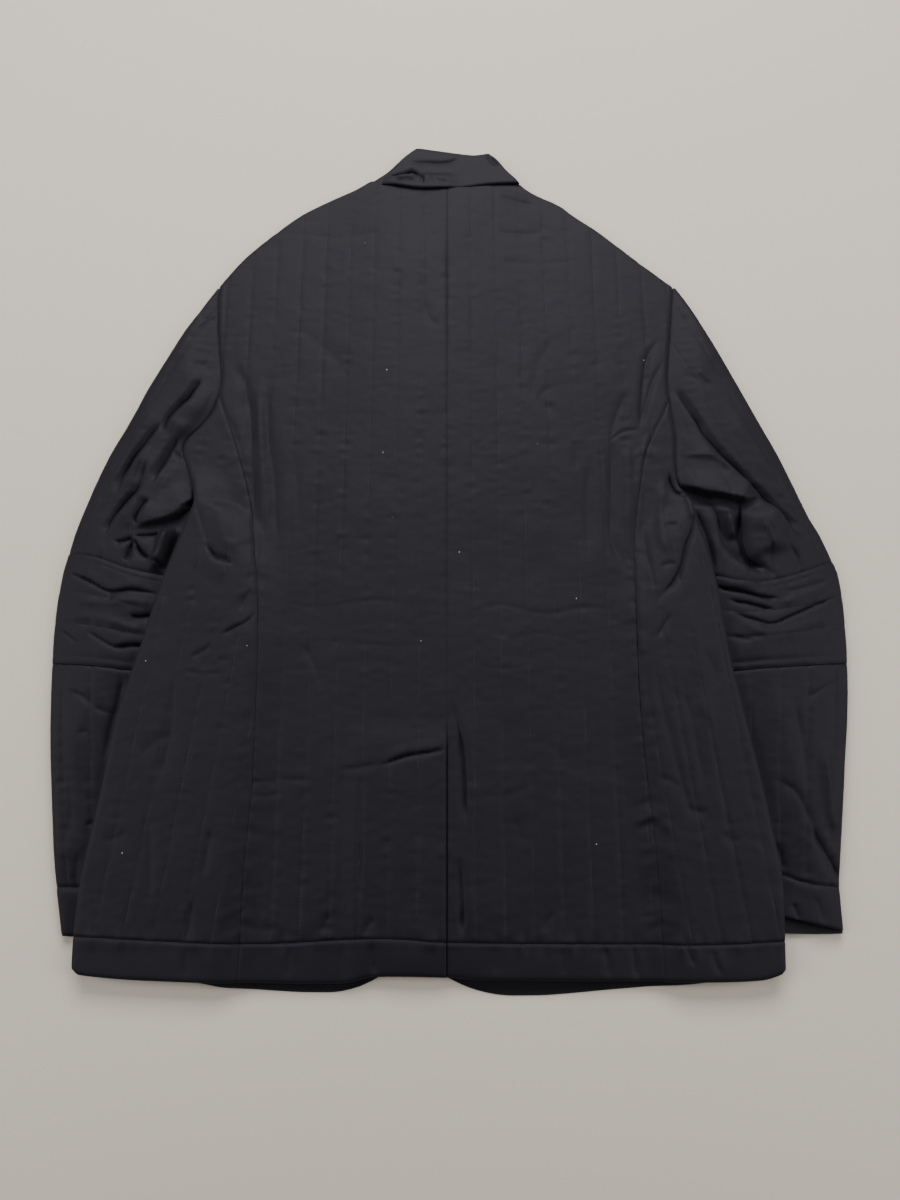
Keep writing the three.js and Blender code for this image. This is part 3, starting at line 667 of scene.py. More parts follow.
@dataclass(frozen=True)
class Overlap:
    """Slack cloth that laps over itself along a line, on the side towards the collar.

    Towards the line the upper cloth climbs by lift, over climb. At the line it drops to a basin that goes on
    sinking to its full depth halfway across, and comes back up over the rest of its width. The basin narrows
    from the first point to the last, where it is taper times as wide and as deep.
    """

    name: str
    lift: float
    climb: float
    depth: float
    width: float
    taper: float
    points: tuple[tuple[float, float], ...]
    edge: float = 2.6

    def add_to(self, relief: Relief, x: Array, y: Array) -> None:
        """Add the lap to a relief in place.

        Args:
            relief: The grid's relief, changed in place.
            x: Places across.
            y: Places along.
        """
        line = near_line(self.points, max(self.climb, self.width), x, y)
        if line is None:
            return
        off = np.where(line.above, line.distance, -line.distance)
        shrink = 1 - (1 - self.taper) * line.share
        t = -off / (self.width * shrink)
        lap = self.lift * (0.4 + 0.6 * shrink) * (1 - smooth(off / self.climb))
        basin = self.depth * shrink * (0.6 + 0.4 * smooth(t / 0.5)) * (1 - smooth((t - 0.3) / 0.7))
        upper = smooth(off / self.edge + 0.5)
        relief.rise[line.near] += line.ends * (upper * lap - (1 - upper) * basin)


Fold = Crease | Overlap


def folds(*rows: Overlap | tuple) -> tuple[Fold, ...]:
    """Folds from rows: each an overlap as it is, or a crease's name, rise, width and skew, then its points."""
    return tuple(row if isinstance(row, Overlap) else Crease(*row[:4], row[4:]) for row in rows)


LEFT_SLEEVE_FOLDS = folds(
    ("long fold", -9.5, 4.8, -0.8, (-251, 151), (-258, 130), (-267, 119), (-276, 107), (-285, 92)),
    ("long fold low", -9.0, 4.6, -0.8, (-288, 101), (-297, 79), (-306, 65), (-315, 46), (-325, 29)),
    ("second fold", -9.5, 4.6, -0.8, (-297, 61), (-300, 32), (-310, 18), (-321, 2), (-333, -13)),
    ("shallow fold", -5.5, 4.2, -0.7, (-269, 87), (-278, 65), (-287, 43), (-290, 37)),
    ("short fold", -6.5, 3.4, -0.7, (-291, 21), (-298, 7), (-303, -6)),
    ("at the underarm", -2.4, 2.0, 0.3, (-272, 73), (-264, 65)),
    Overlap(
        "over the armpit", 7.5, 30.0, 7.0, 24.0, 0.3,
        ((-243, 28), (-254, 18), (-263, 7), (-273, 1), (-283, -3), (-293, -6), (-304, -10)),
    ),
    ("star right", -4.6, 2.4, 0.5, (-305, -16), (-292, -15), (-278, -12)),
    ("star left", -4.2, 2.2, 0.4, (-304, -16), (-313, -21), (-322, -22)),
    ("star down left", -6.0, 3.0, 0.3, (-304, -17), (-308, -29), (-310, -42)),
    ("star down", -5.0, 2.4, 0.4, (-303, -19), (-294, -33), (-286, -38)),
    ("star ridge", 2.6, 4.0, 0.0, (-300, -12), (-303, -20), (-300, -30)),
    ("above the band", -2.8, 1.8, 0.4, (-287, -41), (-279, -42), (-275, -50)),
    ("puff by the body", 10.0, 6.0, 0.0, (-267, -5), (-273, -20), (-278, -36), (-283, -52)),
    ("by the body", -7.0, 4.0, 0.0, (-252, 12), (-257, -4), (-264, -24), (-271, -54)),
    ("upper ridge", 1.4, 7.0, 0.0, (-248, 128), (-262, 104), (-280, 74), (-291, 48)),
    ("outer roll", 1.6, 9.0, 0.0, (-288, 133), (-306, 95), (-327, 44), (-342, 9)),
    ("shoulder seam", -1.0, 1.2, 0.0, (-239, 224), (-250, 216), (-260, 207)),
    ("sleeve head ripple", -1.0, 5.0, 0.0, (-239, 159), (-248, 166), (-262, 166)),
)
RIGHT_SLEEVE_FOLDS = folds(
    ("long fold head", -3.6, 3.6, -0.6, (228, 141), (234, 127), (242, 111), (250, 92)),
    (
        "long fold", -9.5, 5.4, -0.8,
        (243, 108), (250, 90), (259, 73), (271, 57), (285, 40), (299, 24), (313, 7), (327, -6), (343, -22),
    ),
    ("ridge under the fold", 2.6, 2.6, 0.0, (230, 69), (251, 66), (263, 57), (280, 40), (297, 22)),
    Overlap(
        "flap", 8.5, 30.0, 4.5, 16.0, 0.8,
        ((220, 41), (236, 32), (248, 27), (261, 24), (278, 19), (288, 17), (300, 22)),
    ),
    (
        "valley by the body", -10.5, 7.0, -0.8,
        (253, 26), (256, 6), (259, -14), (267, -32), (280, -45), (299, -54),
    ),
    ("valley by the puff", -10.5, 8.0, 0.75, (280, 20), (283, 0), (282, -22), (287, -38), (299, -51)),
    ("between the valleys", 4.5, 5.0, 0.0, (270, 6), (271, -6), (273, -19)),
    ("under the flap", 4.5, 12.0, 0.0, (250, 18), (272, 10), (292, 8)),
    ("lower puff", 8.0, 13.0, 0.0, (300, 14), (309, -12), (320, -35)),
    ("streak", 1.7, 1.6, 0.0, (300, -5), (305, -19), (308, -31)),
    ("streak 2", 1.7, 1.6, 0.0, (322, -18), (330, -30), (336, -40)),
    ("outer roll", 1.6, 9.0, 0.0, (276, 126), (295, 84), (322, 35), (342, -2)),
    ("small above the band", -2.4, 2.2, 0.0, (296, -43), (302, -52), (309, -57)),
    ("head ripple", -0.9, 4.0, 0.0, (234, 159), (248, 150), (263, 137)),
    ("head ripple 2", -0.8, 3.0, 0.0, (227, 128), (233, 106), (236, 84)),
    ("head streak", 0.9, 2.0, 0.0, (250, 160), (257, 152), (263, 145)),
    ("by the body", -5.5, 3.2, 0.3, (238, 14), (243, -6), (248, -28), (254, -52)),
)
LEFT_BAND_CREASES = folds(
    ("upper", -4.0, 2.0, 0.5, (-366, -52), (-343, -60), (-322, -71), (-300, -69), (-274, -74)),
    ("wedge", -6.0, 4.2, 0.5, (-302, -95), (-290, -94), (-275, -93)),
    ("lower", -2.2, 1.8, 0.4, (-341, -108), (-325, -118), (-311, -125), (-300, -123)),
    ("lower end", -4.8, 2.2, 0.5, (-312, -124), (-300, -122), (-284, -122)),
    ("corner", -1.8, 1.8, 0.3, (-364, -108), (-355, -115), (-345, -123)),
    ("tuck", -1.6, 2.0, 0.0, (-322, -72), (-320, -80)),
    ("ridge", 1.4, 4.0, 0.0, (-359, -79), (-330, -83), (-302, -81), (-278, -83)),
    ("ridge low", 1.2, 4.0, 0.0, (-365, -96), (-333, -97), (-300, -106), (-281, -108)),
)
RIGHT_BAND_CREASES = folds(
    ("upper", -5.0, 2.4, 0.6, (251, -65), (271, -69), (290, -75), (310, -79)),
    ("second", -4.6, 2.4, 0.6, (263, -78), (280, -82), (290, -85), (305, -90)),
    ("vee", -2.8, 2.0, 0.5, (267, -91), (281, -97), (301, -103), (316, -97)),
    ("vee long", -3.8, 2.4, 0.6, (295, -103), (312, -98), (330, -90), (367, -76)),
    ("short", -1.8, 1.8, 0.3, (266, -113), (273, -117), (283, -118)),
    ("long top", -1.4, 2.0, 0.4, (309, -72), (335, -68), (364, -58)),
    ("ridge", 1.6, 4.0, 0.0, (308, -85), (337, -75), (365, -64)),
    ("ridge low", 1.3, 4.5, 0.0, (272, -101), (299, -114), (334, -105), (365, -91)),
)
LEFT_FOREARM_CREASES = folds(
    ("diagonal", -1.7, 3.0, 0.2, (-352, -165), (-336, -172), (-325, -181), (-308, -188)),
    ("by the body", -3.2, 3.4, 0.0, (-304, -147), (-305, -174), (-309, -196), (-313, -229)),
    ("small", -1.3, 2.6, 0.2, (-338, -205), (-329, -202)),
    ("lower small", -1.4, 2.6, 0.2, (-325, -285), (-313, -284)),
    ("soft", -1.3, 6.0, 0.0, (-352, -211), (-340, -255), (-338, -307)),
    ("at the cuff", -1.6, 3.4, 0.0, (-328, -307), (-329, -332), (-322, -349)),
)
RIGHT_FOREARM_CREASES = folds(
    ("top", -2.2, 2.6, 0.2, (327, -173), (341, -165), (357, -156)),
    ("sharp", -5.0, 2.6, 0.3, (320, -287), (328, -304), (339, -326), (341, -336)),
    ("feeder", -1.8, 3.4, 0.2, (293, -246), (308, -255), (317, -274), (323, -292)),
    ("ridge", 2.6, 5.0, 0.0, (338, -213), (339, -255), (341, -295)),
    ("by the body", -2.4, 3.6, 0.0, (286, -300), (292, -314), (294, -326)),
    ("mid", -1.8, 4.0, 0.0, (315, -174), (319, -211), (320, -243)),
    ("cuff pinch", -2.2, 2.2, 0.0, (298, -351), (301, -360), (303, -367)),
    ("cuff pinch 2", -1.4, 2.6, 0.0, (317, -346), (321, -359), (321, -369)),
)
BACK_CREASES = folds(
    (
        "left long", -3.0, 6.5, 0.2,
        (-222, 173), (-208, 148), (-201, 119), (-196, 62), (-192, 28), (-186, -21),
    ),
    ("left second", -2.4, 5.5, 0.2, (-185, 162), (-181, 91), (-174, 51), (-169, 7), (-165, -33)),
    ("left third", -1.2, 5.0, 0.0, (-153, 70), (-148, 20), (-145, -16)),
    ("left thin", -1.1, 2.2, 0.0, (-230, 129), (-213, 91), (-197, 40), (-187, -0)),
    ("left thin low", -0.9, 2.0, 0.0, (-237, 107), (-220, 73), (-205, 48)),
    ("left ridge", 1.6, 5.0, 0.0, (-193, 148), (-188, 94), (-182, 30), (-177, -17)),
    ("right armhole", -2.4, 3.2, 0.3, (213, 196), (201, 178), (194, 140), (188, 97)),
    ("right armhole edge", -2.0, 2.0, 0.2, (216, 171), (204, 148), (189, 98)),
    ("right tack", -1.6, 1.3, 0.2, (157, 83), (172, 94), (191, 96)),
    ("right drag", -1.5, 3.0, 0.0, (177, 137), (165, 108), (159, 83)),
    ("right long", -3.2, 5.5, -0.2, (161, 87), (158, 34), (156, -21), (164, -41), (171, -53)),
    ("right inner", -1.8, 5.0, 0.0, (139, 70), (134, 20), (133, -41)),
    ("right ridge", 2.0, 5.0, 0.0, (175, 83), (174, 30), (170, -31)),
    ("right princess ridge", 1.6, 4.0, 0.0, (198, 94), (189, 60), (184, 20)),
    ("waist left", -0.38, 2.2, 0.5, (-169, -80), (-122, -86), (-75, -80), (-28, -86)),
    ("waist left 2", -0.3, 2.0, 0.5, (-153, -121), (-112, -119), (-54, -124), (-13, -121)),
    ("waist right", -0.45, 2.2, 0.5, (11, -92), (47, -84), (89, -92), (132, -86), (167, -92)),
    ("waist right 2", -0.38, 2.2, 0.5, (47, -119), (84, -111), (121, -119)),
    ("waist right 3", -0.3, 2.0, 0.5, (7, -138), (46, -145), (83, -141)),
    ("across left", -0.3, 2.0, 0.5, (-166, -149), (-129, -145), (-92, -149)),
    ("yoke left", -0.8, 4.0, 0.0, (-158, 321), (-116, 316), (-61, 323)),
    ("yoke right", -1.1, 4.0, 0.0, (46, 325), (74, 321), (112, 325)),
    ("shoulder right", -1.2, 4.0, 0.0, (51, 369), (70, 361), (91, 356)),
    ("yoke right 2", -0.7, 3.0, 0.0, (52, 289), (94, 284), (136, 289)),
    ("blade left", -0.8, 6.0, 0.0, (-153, 205), (-122, 182), (-101, 148)),
    ("blade right", -0.8, 6.0, 0.0, (112, 205), (91, 171), (80, 126)),
    ("blade right 2", -1.0, 4.0, 0.0, (111, 148), (90, 131), (109, 111)),
    ("centre small", -1.1, 3.0, 0.0, (-25, 239), (-21, 219), (-6, 205)),
    ("vent slit", -3.6, 2.2, 0.6, (-64, -233), (-59, -232), (-40, -225), (-22, -222), (-2, -219)),
    ("vent slit lead", -1.2, 1.8, 0.3, (-100, -237), (-85, -236), (-62, -232)),
    ("vent lead left", -1.0, 1.6, 0.2, (-188, -249), (-168, -248), (-143, -246), (-115, -248)),
    ("vent lead left 2", -0.7, 1.6, 0.2, (-182, -261), (-164, -260), (-150, -258)),
    ("facing", -1.5, 1.8, 0.3, (-79, -245), (-79, -290), (-78, -354)),
    (
        "beside the vent", -4.4, 3.6, 0.5,
        (2, -176), (7, -197), (11, -216), (13, -238), (14, -264), (14, -294),
    ),
    ("beside the vent low", -3.4, 2.8, 0.4, (9, -314), (10, -341), (11, -363), (10, -380)),
    ("vent crease", -1.4, 3.0, 0.0, (-140, -119), (-128, -138), (-117, -165)),
    ("hem pinch", -1.6, 2.6, 0.0, (-110, -377), (-108, -368), (-104, -362)),
    ("hem pinch 2", -1.2, 2.6, 0.0, (-72, -378), (-71, -370), (-64, -364)),
    ("hem pinch 3", -1.0, 2.6, 0.0, (82, -377), (84, -367), (92, -359)),
    ("right low 1", -0.9, 4.0, 0.0, (55, -281), (62, -290), (61, -307)),
    ("right low 2", -0.5, 3.0, 0.2, (18, -255), (45, -261), (81, -247)),
)
SIDES_CREASES = folds(
    ("left hook", -1.6, 1.6, -0.3, (-245, 14), (-238, -6), (-231, -26)),
    ("left hook end", -6.5, 3.8, -0.7, (-232, -26), (-227, -36), (-219, -42), (-204, -45)),
    ("left hook ridge", 1.0, 6.0, 0.0, (-224, 4), (-215, -21), (-201, -33)),
    ("left diagonal", -2.8, 2.2, 0.5, (-182, -92), (-189, -101), (-202, -108), (-213, -115)),
    ("left diagonal low", -1.6, 2.2, 0.2, (-219, -123), (-228, -130), (-239, -136)),
    ("left dab", -1.2, 1.9, 0.2, (-215, -138), (-200, -138)),
    ("left dab 2", -1.0, 1.7, 0.2, (-245, -148), (-227, -151), (-205, -150)),
    ("left upright", -1.1, 4.0, 0.0, (-239, -41), (-240, -70), (-238, -90)),
    ("left seam dab", -1.6, 2.6, 0.0, (-185, -68), (-192, -80), (-197, -92)),
    ("left channel", -1.5, 3.0, 0.0, (-252, -160), (-253, -211), (-261, -255)),
    ("left low", -2.6, 1.9, 0.4, (-223, -349), (-224, -367), (-225, -382)),
    ("left low 2", -1.3, 3.0, 0.0, (-209, -287), (-212, -307), (-214, -332)),
    ("left low 3", -1.0, 3.0, 0.0, (-267, -269), (-262, -307), (-259, -355)),
    ("left soft", -1.0, 5.0, 0.0, (-279, -229), (-262, -211), (-239, -207)),
    ("left soft 2", -0.9, 4.0, 0.0, (-305, -299), (-291, -297), (-283, -290)),
    ("right curl", -5.0, 2.2, 0.3, (215, 50), (218, 37), (224, 27), (233, 29)),
    ("right curl ridge", 3.0, 4.0, 0.0, (225, 26), (232, 16), (232, -4)),
    ("right fold", -5.0, 3.4, 0.5, (235, 6), (231, -12), (224, -27), (218, -48), (209, -64), (194, -82)),
    ("right fold low", -2.6, 2.2, 0.2, (206, -94), (199, -105), (191, -118)),
    ("right dash", -1.5, 1.7, 0.3, (204, -7), (211, -6), (219, -6)),
    ("right dash 2", -1.5, 1.7, 0.3, (199, -48), (206, -46), (214, -46)),
    ("right seam shadow", -1.6, 6.0, 0.0, (193, 51), (188, -0), (186, -51), (182, -119)),
    ("right ridge", 1.8, 5.0, 0.0, (209, 41), (202, -11), (208, -41)),
    ("right long", 1.4, 6.0, 0.0, (226, -80), (230, -156), (238, -229)),
    ("right cross", -1.3, 2.6, 0.0, (183, -244), (195, -247), (207, -255)),
    ("right cross 2", -1.4, 2.4, 0.0, (208, -269), (217, -274), (229, -275)),
    ("right cross 3", -1.1, 2.6, 0.0, (238, -293), (248, -299), (257, -297)),
    ("right channel", -1.4, 3.2, 0.0, (187, -138), (195, -193), (206, -247), (217, -290)),
    ("right channel 2", -1.2, 3.2, 0.0, (212, -156), (221, -211), (228, -264)),
    ("right upper", -1.0, 3.0, 0.0, (232, -128), (242, -145), (244, -165)),
)
HEM_CREASES = folds(
    ("by the facing", -1.6, 1.7, 0.0, (-67, -381), (-66, -396), (-64, -412)),
    ("right of the vent", -0.9, 3.0, 0.0, (38, -386), (40, -397), (40, -410)),
    ("right middle", -0.9, 2.6, 0.0, (96, -388), (97, -401), (96, -411)),
    ("right 1", -1.4, 2.2, 0.0, (133, -387), (135, -399), (135, -413)),
    ("right 2", -2.6, 1.8, 0.3, (157, -385), (159, -396), (160, -414)),
    ("right 3", -2.0, 1.8, 0.3, (202, -384), (204, -392), (207, -402)),
    ("right 4", -2.0, 2.0, 0.3, (223, -387), (225, -397), (229, -409)),
    ("left 1", -0.8, 2.6, 0.0, (-223, -384), (-224, -397), (-222, -411)),
    ("left 2", -0.7, 3.0, 0.0, (-137, -387), (-139, -401), (-138, -414)),
)
COLLAR_CREASES = folds(
    (
        "pucker", -5.5, 2.4, 0.6,
        (-72, 385), (-62, 391), (-50, 394), (-41, 398), (-34, 393), (-29, 388), (-29, 376),
    ),
    ("roll", -2.0, 2.0, 0.3, (-49, 409), (-28, 408), (-4, 408), (13, 414)),
    ("pucker puff", 2.4, 3.6, 0.0, (-58, 384), (-45, 388), (-37, 382)),
    ("soft", -1.4, 3.4, 0.2, (-21, 390), (-13, 382), (0, 380)),
    ("right end", -2.6, 3.0, 0.4, (41, 422), (45, 413), (53, 404)),
)
SIDE_FULLNESS = {Side.LEFT: 0.4, Side.RIGHT: 0.9}
LONG_SEAM_PUCKERS = {Side.LEFT: 0.34, Side.RIGHT: 0.42}
SLEEVE_CREASES = {
    Side.LEFT: LEFT_SLEEVE_FOLDS + LEFT_BAND_CREASES + LEFT_FOREARM_CREASES,
    Side.RIGHT: RIGHT_SLEEVE_FOLDS + RIGHT_BAND_CREASES + RIGHT_FOREARM_CREASES,
}


@dataclass(frozen=True)
class Pucker:
    """Small ripples that cross a seam, gathered along it.

    The ripple is rise * bell(distance to the seam, reach) * noise, with the noise short along the seam and
    long across it, and it swells and dies away along the seam with a slower noise.
    """

    seam: EdgeLine
    low_y: float
    high_y: float
    rise: float
    reach: float = 13.0
    pitch: float = 6.5
    seed: int = 3

    def height(self, x: Array, y: Array) -> Array:
        """The ripples' height.

        Args:
            x: Places across.
            y: Places along.

        Returns:
            The height, from about -rise to rise.
        """
        along = smooth((y - self.low_y) / 30) * smooth((self.high_y - y) / 30)
        away = x - self.seam(y)
        lean = y + 0.35 * np.abs(away)
        ripple = noise(x, lean, 26.0, self.pitch, self.seed)
        swell = 0.65 + 0.5 * noise(x, y, 60.0, 42.0, self.seed + 1)
        return self.rise * along * bell(away, self.reach) * ripple * swell


@dataclass(frozen=True)
class Quilting:
    """Straight stitch lines at an even pitch, with the cloth full between them.

    phase counts channels across the cloth, a whole number at each stitch line, and along counts them down it.
    """

    phase: Height
    along: Height
    rise: float = 0.9
    shoulder: float = 5.5

    def distance(self, x: Array, y: Array) -> Array:
        """Millimetres to the nearest stitch line."""
        phase = self.phase(x, y)
        return np.abs(phase - np.round(phase)) * QUILT_PITCH

    def relief(self, x: Array, y: Array) -> Array:
        """Height of the filled channel: full between the lines, and down by an uneven share at each line.

        Args:
            x: Places across.
            y: Places along.

        Returns:
            Height above the tightest stitches.
        """
        across, down = self.phase(x, y), self.along(x, y)
        fullness = 1.0 + 0.16 * noise(x, y, 30.0, 46.0, 11)
        pull = 0.3 + 0.26 * noise(across, down, 1.1, 2.6, 12) + 0.5 * smooth((150 - y) / 330)
        filled = crown(self.distance(x, y), self.shoulder)
        return self.rise * fullness * (1 - np.clip(pull, 0.12, 1.0) * (1 - filled))

    def slack(self, x: Array, y: Array) -> Array:
        """The unevenness of slack cloth: broad swells, dimples, crepe, and puckers drawn up by the thread.

        Args:
            x: Places across.
            y: Places along.

        Returns:
            Height to add, mostly within half a millimetre.
        """
        across, down = self.phase(x, y) * QUILT_PITCH, self.along(x, y) * QUILT_PITCH
        broad = 0.34 * noise(x, y, 85.0, 70.0, 21) + 0.15 * noise(x, y, 24.0, 17.0, 22)
        crepe = 0.075 * noise(across, down, 10.0, 4.2, 23) + 0.05 * noise(across, down, 4.6, 4.0, 25)
        patchy = smooth(0.45 + 0.6 * noise(x, y, 48.0, 52.0, 24))
        puckers = 0.26 * bell(self.distance(x, y), 7.0) * noise(across, down, 12.0, 5.2, 26) * (0.3 + patchy)
        return broad + crepe + puckers


def lengthwise(origin_x: float, lean: float = 0.0) -> Quilting:
    """Stitch lines that run up the coat.

    Args:
        origin_x: Where one of them crosses the hem's stitching.
        lean: How far they move across for each millimetre up.

    Returns:
        The quilting.
    """
    return Quilting(
        lambda x, y: (x - origin_x - lean * (y - HEM_QUILT_Y)) / QUILT_PITCH,
        lambda x, y: y / QUILT_PITCH,
    )


def sleeve_quilting(pattern: Pattern) -> Quilting:
    """Stitch lines parallel to a sleeve's outer edge, closer together as the sleeve narrows.

    Args:
        pattern: The side's outlines.

    Returns:
        The quilting.
    """

    def phase(x: Array, y: Array) -> Array:
        """Channels in from the outer edge: distance / pitch, the first stitch line lying 0.55 of a pitch in.

        Args:
            x: Places across.
            y: Places along.

        Returns:
            The count, whole at each stitch line.
        """
        outer = pattern.outer(y)
        lean = (pattern.outer(y + 10) - pattern.outer(y - 10)) / 20
        width = np.abs(outer - pattern.inner(y)) / FULL_SLEEVE
        pitch = QUILT_PITCH * np.hypot(1, lean) * np.where(y < 0, np.minimum(1, width), 1)
        return pattern.sign * (outer - x) / pitch - 0.55

    return Quilting(phase, lambda x, y: y / QUILT_PITCH)


def plain_cloth() -> Quilting:
    """Cloth with no stitch lines: every place is halfway between two."""
    return Quilting(lambda x, y: np.full_like(x, 0.5), lambda x, y: y / QUILT_PITCH)


def top_stitched(edge: EdgeLine, inset: float) -> Quilting:
    """Cloth with a single row of stitches that follows its upper edge.

    Args:
        edge: The upper edge.
        inset: How far below it the row runs.

    Returns:
        The quilting, held halfway between two lines everywhere else.
    """
    return Quilting(
        lambda x, y: np.clip((edge(x) - inset - y) / QUILT_PITCH, -0.5, 0.5),
        lambda x, y: x / QUILT_PITCH,
    )


def plain_below(quilting: Quilting, line: EdgeLine) -> Quilting:
    """Quilting that stops at a line, as at a front's hem.

    Args:
        quilting: The quilting above the line.
        line: Height of the line at each x.

    Returns:
        The quilting, with every place below the line halfway between two stitch lines.
    """

    def phase(x: Array, y: Array) -> Array:
        """Channels across, each place below the line moved to the middle of its channel."""
        across = quilting.phase(x, y)
        return np.where(y < line(x), np.floor(across) + 0.5, across)

    return Quilting(phase, quilting.along)


def crosswise(foot: Curve, head: Curve, channels: int, margin: float = 7.0) -> Quilting:
    """Stitch lines across a band: one a margin inside each edge, and even channels between those two.

    Args:
        foot: The band's lower edge.
        head: Its upper edge.
        channels: How many channels lie between the margins.
        margin: Width of the stitched-down strip along each edge.

    Returns:
        The quilting.
    """
    return Quilting(
        lambda x, y: channels * (y - foot(x) - margin) / (head(x) - foot(x) - 2 * margin),
        lambda x, y: x / QUILT_PITCH,
        rise=1.1,
    )


# --------------------------------------------------------------------------------------------------
# Grids and meshes


SETTLING_ROUNDS = 14  # how often a row's ends are slid towards the side edges
SETTLING_SHARE = 0.7  # how far each time
LEAST_ROW = 0.4  # width of the narrowest row


@dataclass(frozen=True)
class Grid:
    """A grid laid over a piece: places, and each place's distance to the piece's four edges."""

    x: Array
    y: Array
    from_left: Array
    from_right: Array
    from_foot: Array
    from_head: Array

    def sideways(self, sign: int) -> tuple[Array, Array]:
        """Distance from the edge towards the coat's centre and from the one away from it, on a side."""
        return (self.from_left, self.from_right) if sign > 0 else (self.from_right, self.from_left)


def edge_steps(count: int, pinch: Sequence[float], width: Array) -> Array:
    """Places from 0 to width, close together at both ends and even between.

    Args:
        count: How many even steps lie between.
        pinch: Distances of the close places from either end, starting at 0.
        width: Width of each row.

    Returns:
        One row of places for each width.
    """
    width = np.atleast_1d(width)[:, None]
    close = np.asarray(pinch, float)[None, :] * np.minimum(1.0, width / (3.2 * pinch[-1]))
    middle = close[:, -1:] + (width - 2 * close[:, -1:]) * (np.arange(1, count) / count)[None, :]
    return np.concatenate((close, middle, width - close[:, ::-1]), axis=1)


@dataclass(frozen=True)
class Lay:
    """How a piece is laid out: its lower and upper edges as curves over x, its side edges as curves over y.

    Rows run from side to side. With spread above 0 they turn from the shape of the foot to level over that
    height; otherwise they go evenly from the shape of the foot to the shape of the head. pinch holds the
    close steps next to every edge, and crowd above 1 draws the rows together towards the foot.
    """

    foot: EdgeLine
    head: EdgeLine
    left: EdgeLine
    right: EdgeLine
    step_x: float = 1.7
    step_y: float = 2.0
    spread: float = 0.0
    pinch: tuple[float, ...] = (0.0, 0.5, 1.2, 2.2, 3.6)
    crowd: float = 1.0

    def grid(self) -> Grid:
        """Lay the grid: each row's ends are found by sliding them along the row's curve to the side edges.

        Returns:
            The grid.
        """
        probe = np.linspace(0.0, 1.0, 9)
        mid = np.array([0.5 * (self.foot(0.0) + self.head(0.0))]).ravel()
        x0, x1 = self.left(mid), self.right(mid)
        for _ in range(6):
            x0, x1 = self.left(self.foot(x0)), self.right(self.foot(x1))
        feet = self.foot(x0 + probe * (x1 - x0))
        base = 0.5 * float(feet.min() + feet.max())
        top = float(np.mean(self.head(0.5 * (x0 + x1))))
        height = top - base
        rows = edge_steps(max(4, round(height / self.step_y)), self.pinch, np.array([height]))[0]
        share = (rows / height) ** self.crowd
        rows = (share * height)[:, None]

        def row_curve(x: Array) -> Array:
            """Level of each row at places across.

            Args:
                x: Places, one line of them for each row.

            Returns:
                Their levels.
            """
            if self.spread > 0:
                return base + rows + (self.foot(x) - base) * (1 - smooth(rows / self.spread))
            return self.foot(x) + (self.head(x) - self.foot(x)) * share[:, None]

        start = self.left(base + rows)
        end = self.right(base + rows)
        for _ in range(SETTLING_ROUNDS):
            start = start + SETTLING_SHARE * (self.left(row_curve(start)) - start)
            end = end + SETTLING_SHARE * (self.right(row_curve(end)) - end)
        width = np.maximum(end - start, LEAST_ROW)
        widest = float(width.max())
        places = edge_steps(max(4, round(widest / self.step_x)), self.pinch, width[:, 0])
        x = start + places
        y = row_curve(x)
        return Grid(x, y, places, width - places, y - self.foot(x), self.head(x) - y)


def every_other(count: int) -> Array:
    """Every second index below a count, and the last one."""
    return np.unique(np.append(np.arange(0, count, 2), count - 1))


def lowest_around(heights: Array) -> Array:
    """The lowest height among each place and its eight neighbours, so that a grid half as fine stays below.

    Args:
        heights: Heights over a grid.

    Returns:
        The lowest heights, over the same grid.
    """
    rows, columns = heights.shape
    padded = np.pad(heights, 1, mode="edge")
    return np.min([padded[i : i + rows, j : j + columns] for i in range(3) for j in range(3)], axis=0)


def slab_faces(rows: int, columns: int, low_rows: Array, low_columns: Array) -> tuple[Array, Array]:
    """Faces of a closed slab whose upper grid's points come first, then those of its coarser lower grid.

    Args:
        rows: Rows of the upper grid.
        columns: Columns of the upper grid.
        low_rows: Which of its rows the lower grid has.
        low_columns: Which of its columns the lower grid has.

    Returns:
        The quads and the triangles, one row of corners for each, facing outwards.
    """
    upper = np.arange(rows * columns).reshape(rows, columns)
    lower = np.arange(len(low_rows) * len(low_columns)).reshape(len(low_rows), len(low_columns))
    lower += rows * columns
    quads = [
        np.stack((upper[:-1, :-1], upper[:-1, 1:], upper[1:, 1:], upper[1:, :-1]), -1).reshape(-1, 4),
        np.stack((lower[:-1, :-1], lower[1:, :-1], lower[1:, 1:], lower[:-1, 1:]), -1).reshape(-1, 4),
    ]
    triangles = []
    row_below = np.searchsorted(low_rows, np.arange(rows), side="right") - 1
    column_below = np.searchsorted(low_columns, np.arange(columns), side="right") - 1
    walls = (
        (upper[0], lower[0, column_below], 1),
        (upper[-1], lower[-1, column_below], -1),
        (upper[:, 0], lower[row_below, 0], -1),
        (upper[:, -1], lower[row_below, -1], 1),
    )
    for high, low, turn in walls:
        wall = np.stack((low[:-1], low[1:], high[1:], high[:-1]), -1)
        pointed = low[:-1] == low[1:]
        quads.append(wall[~pointed][:, ::turn])
        triangles.append(wall[pointed][:, 1:][:, ::turn])
    return np.concatenate(quads), np.concatenate(triangles)


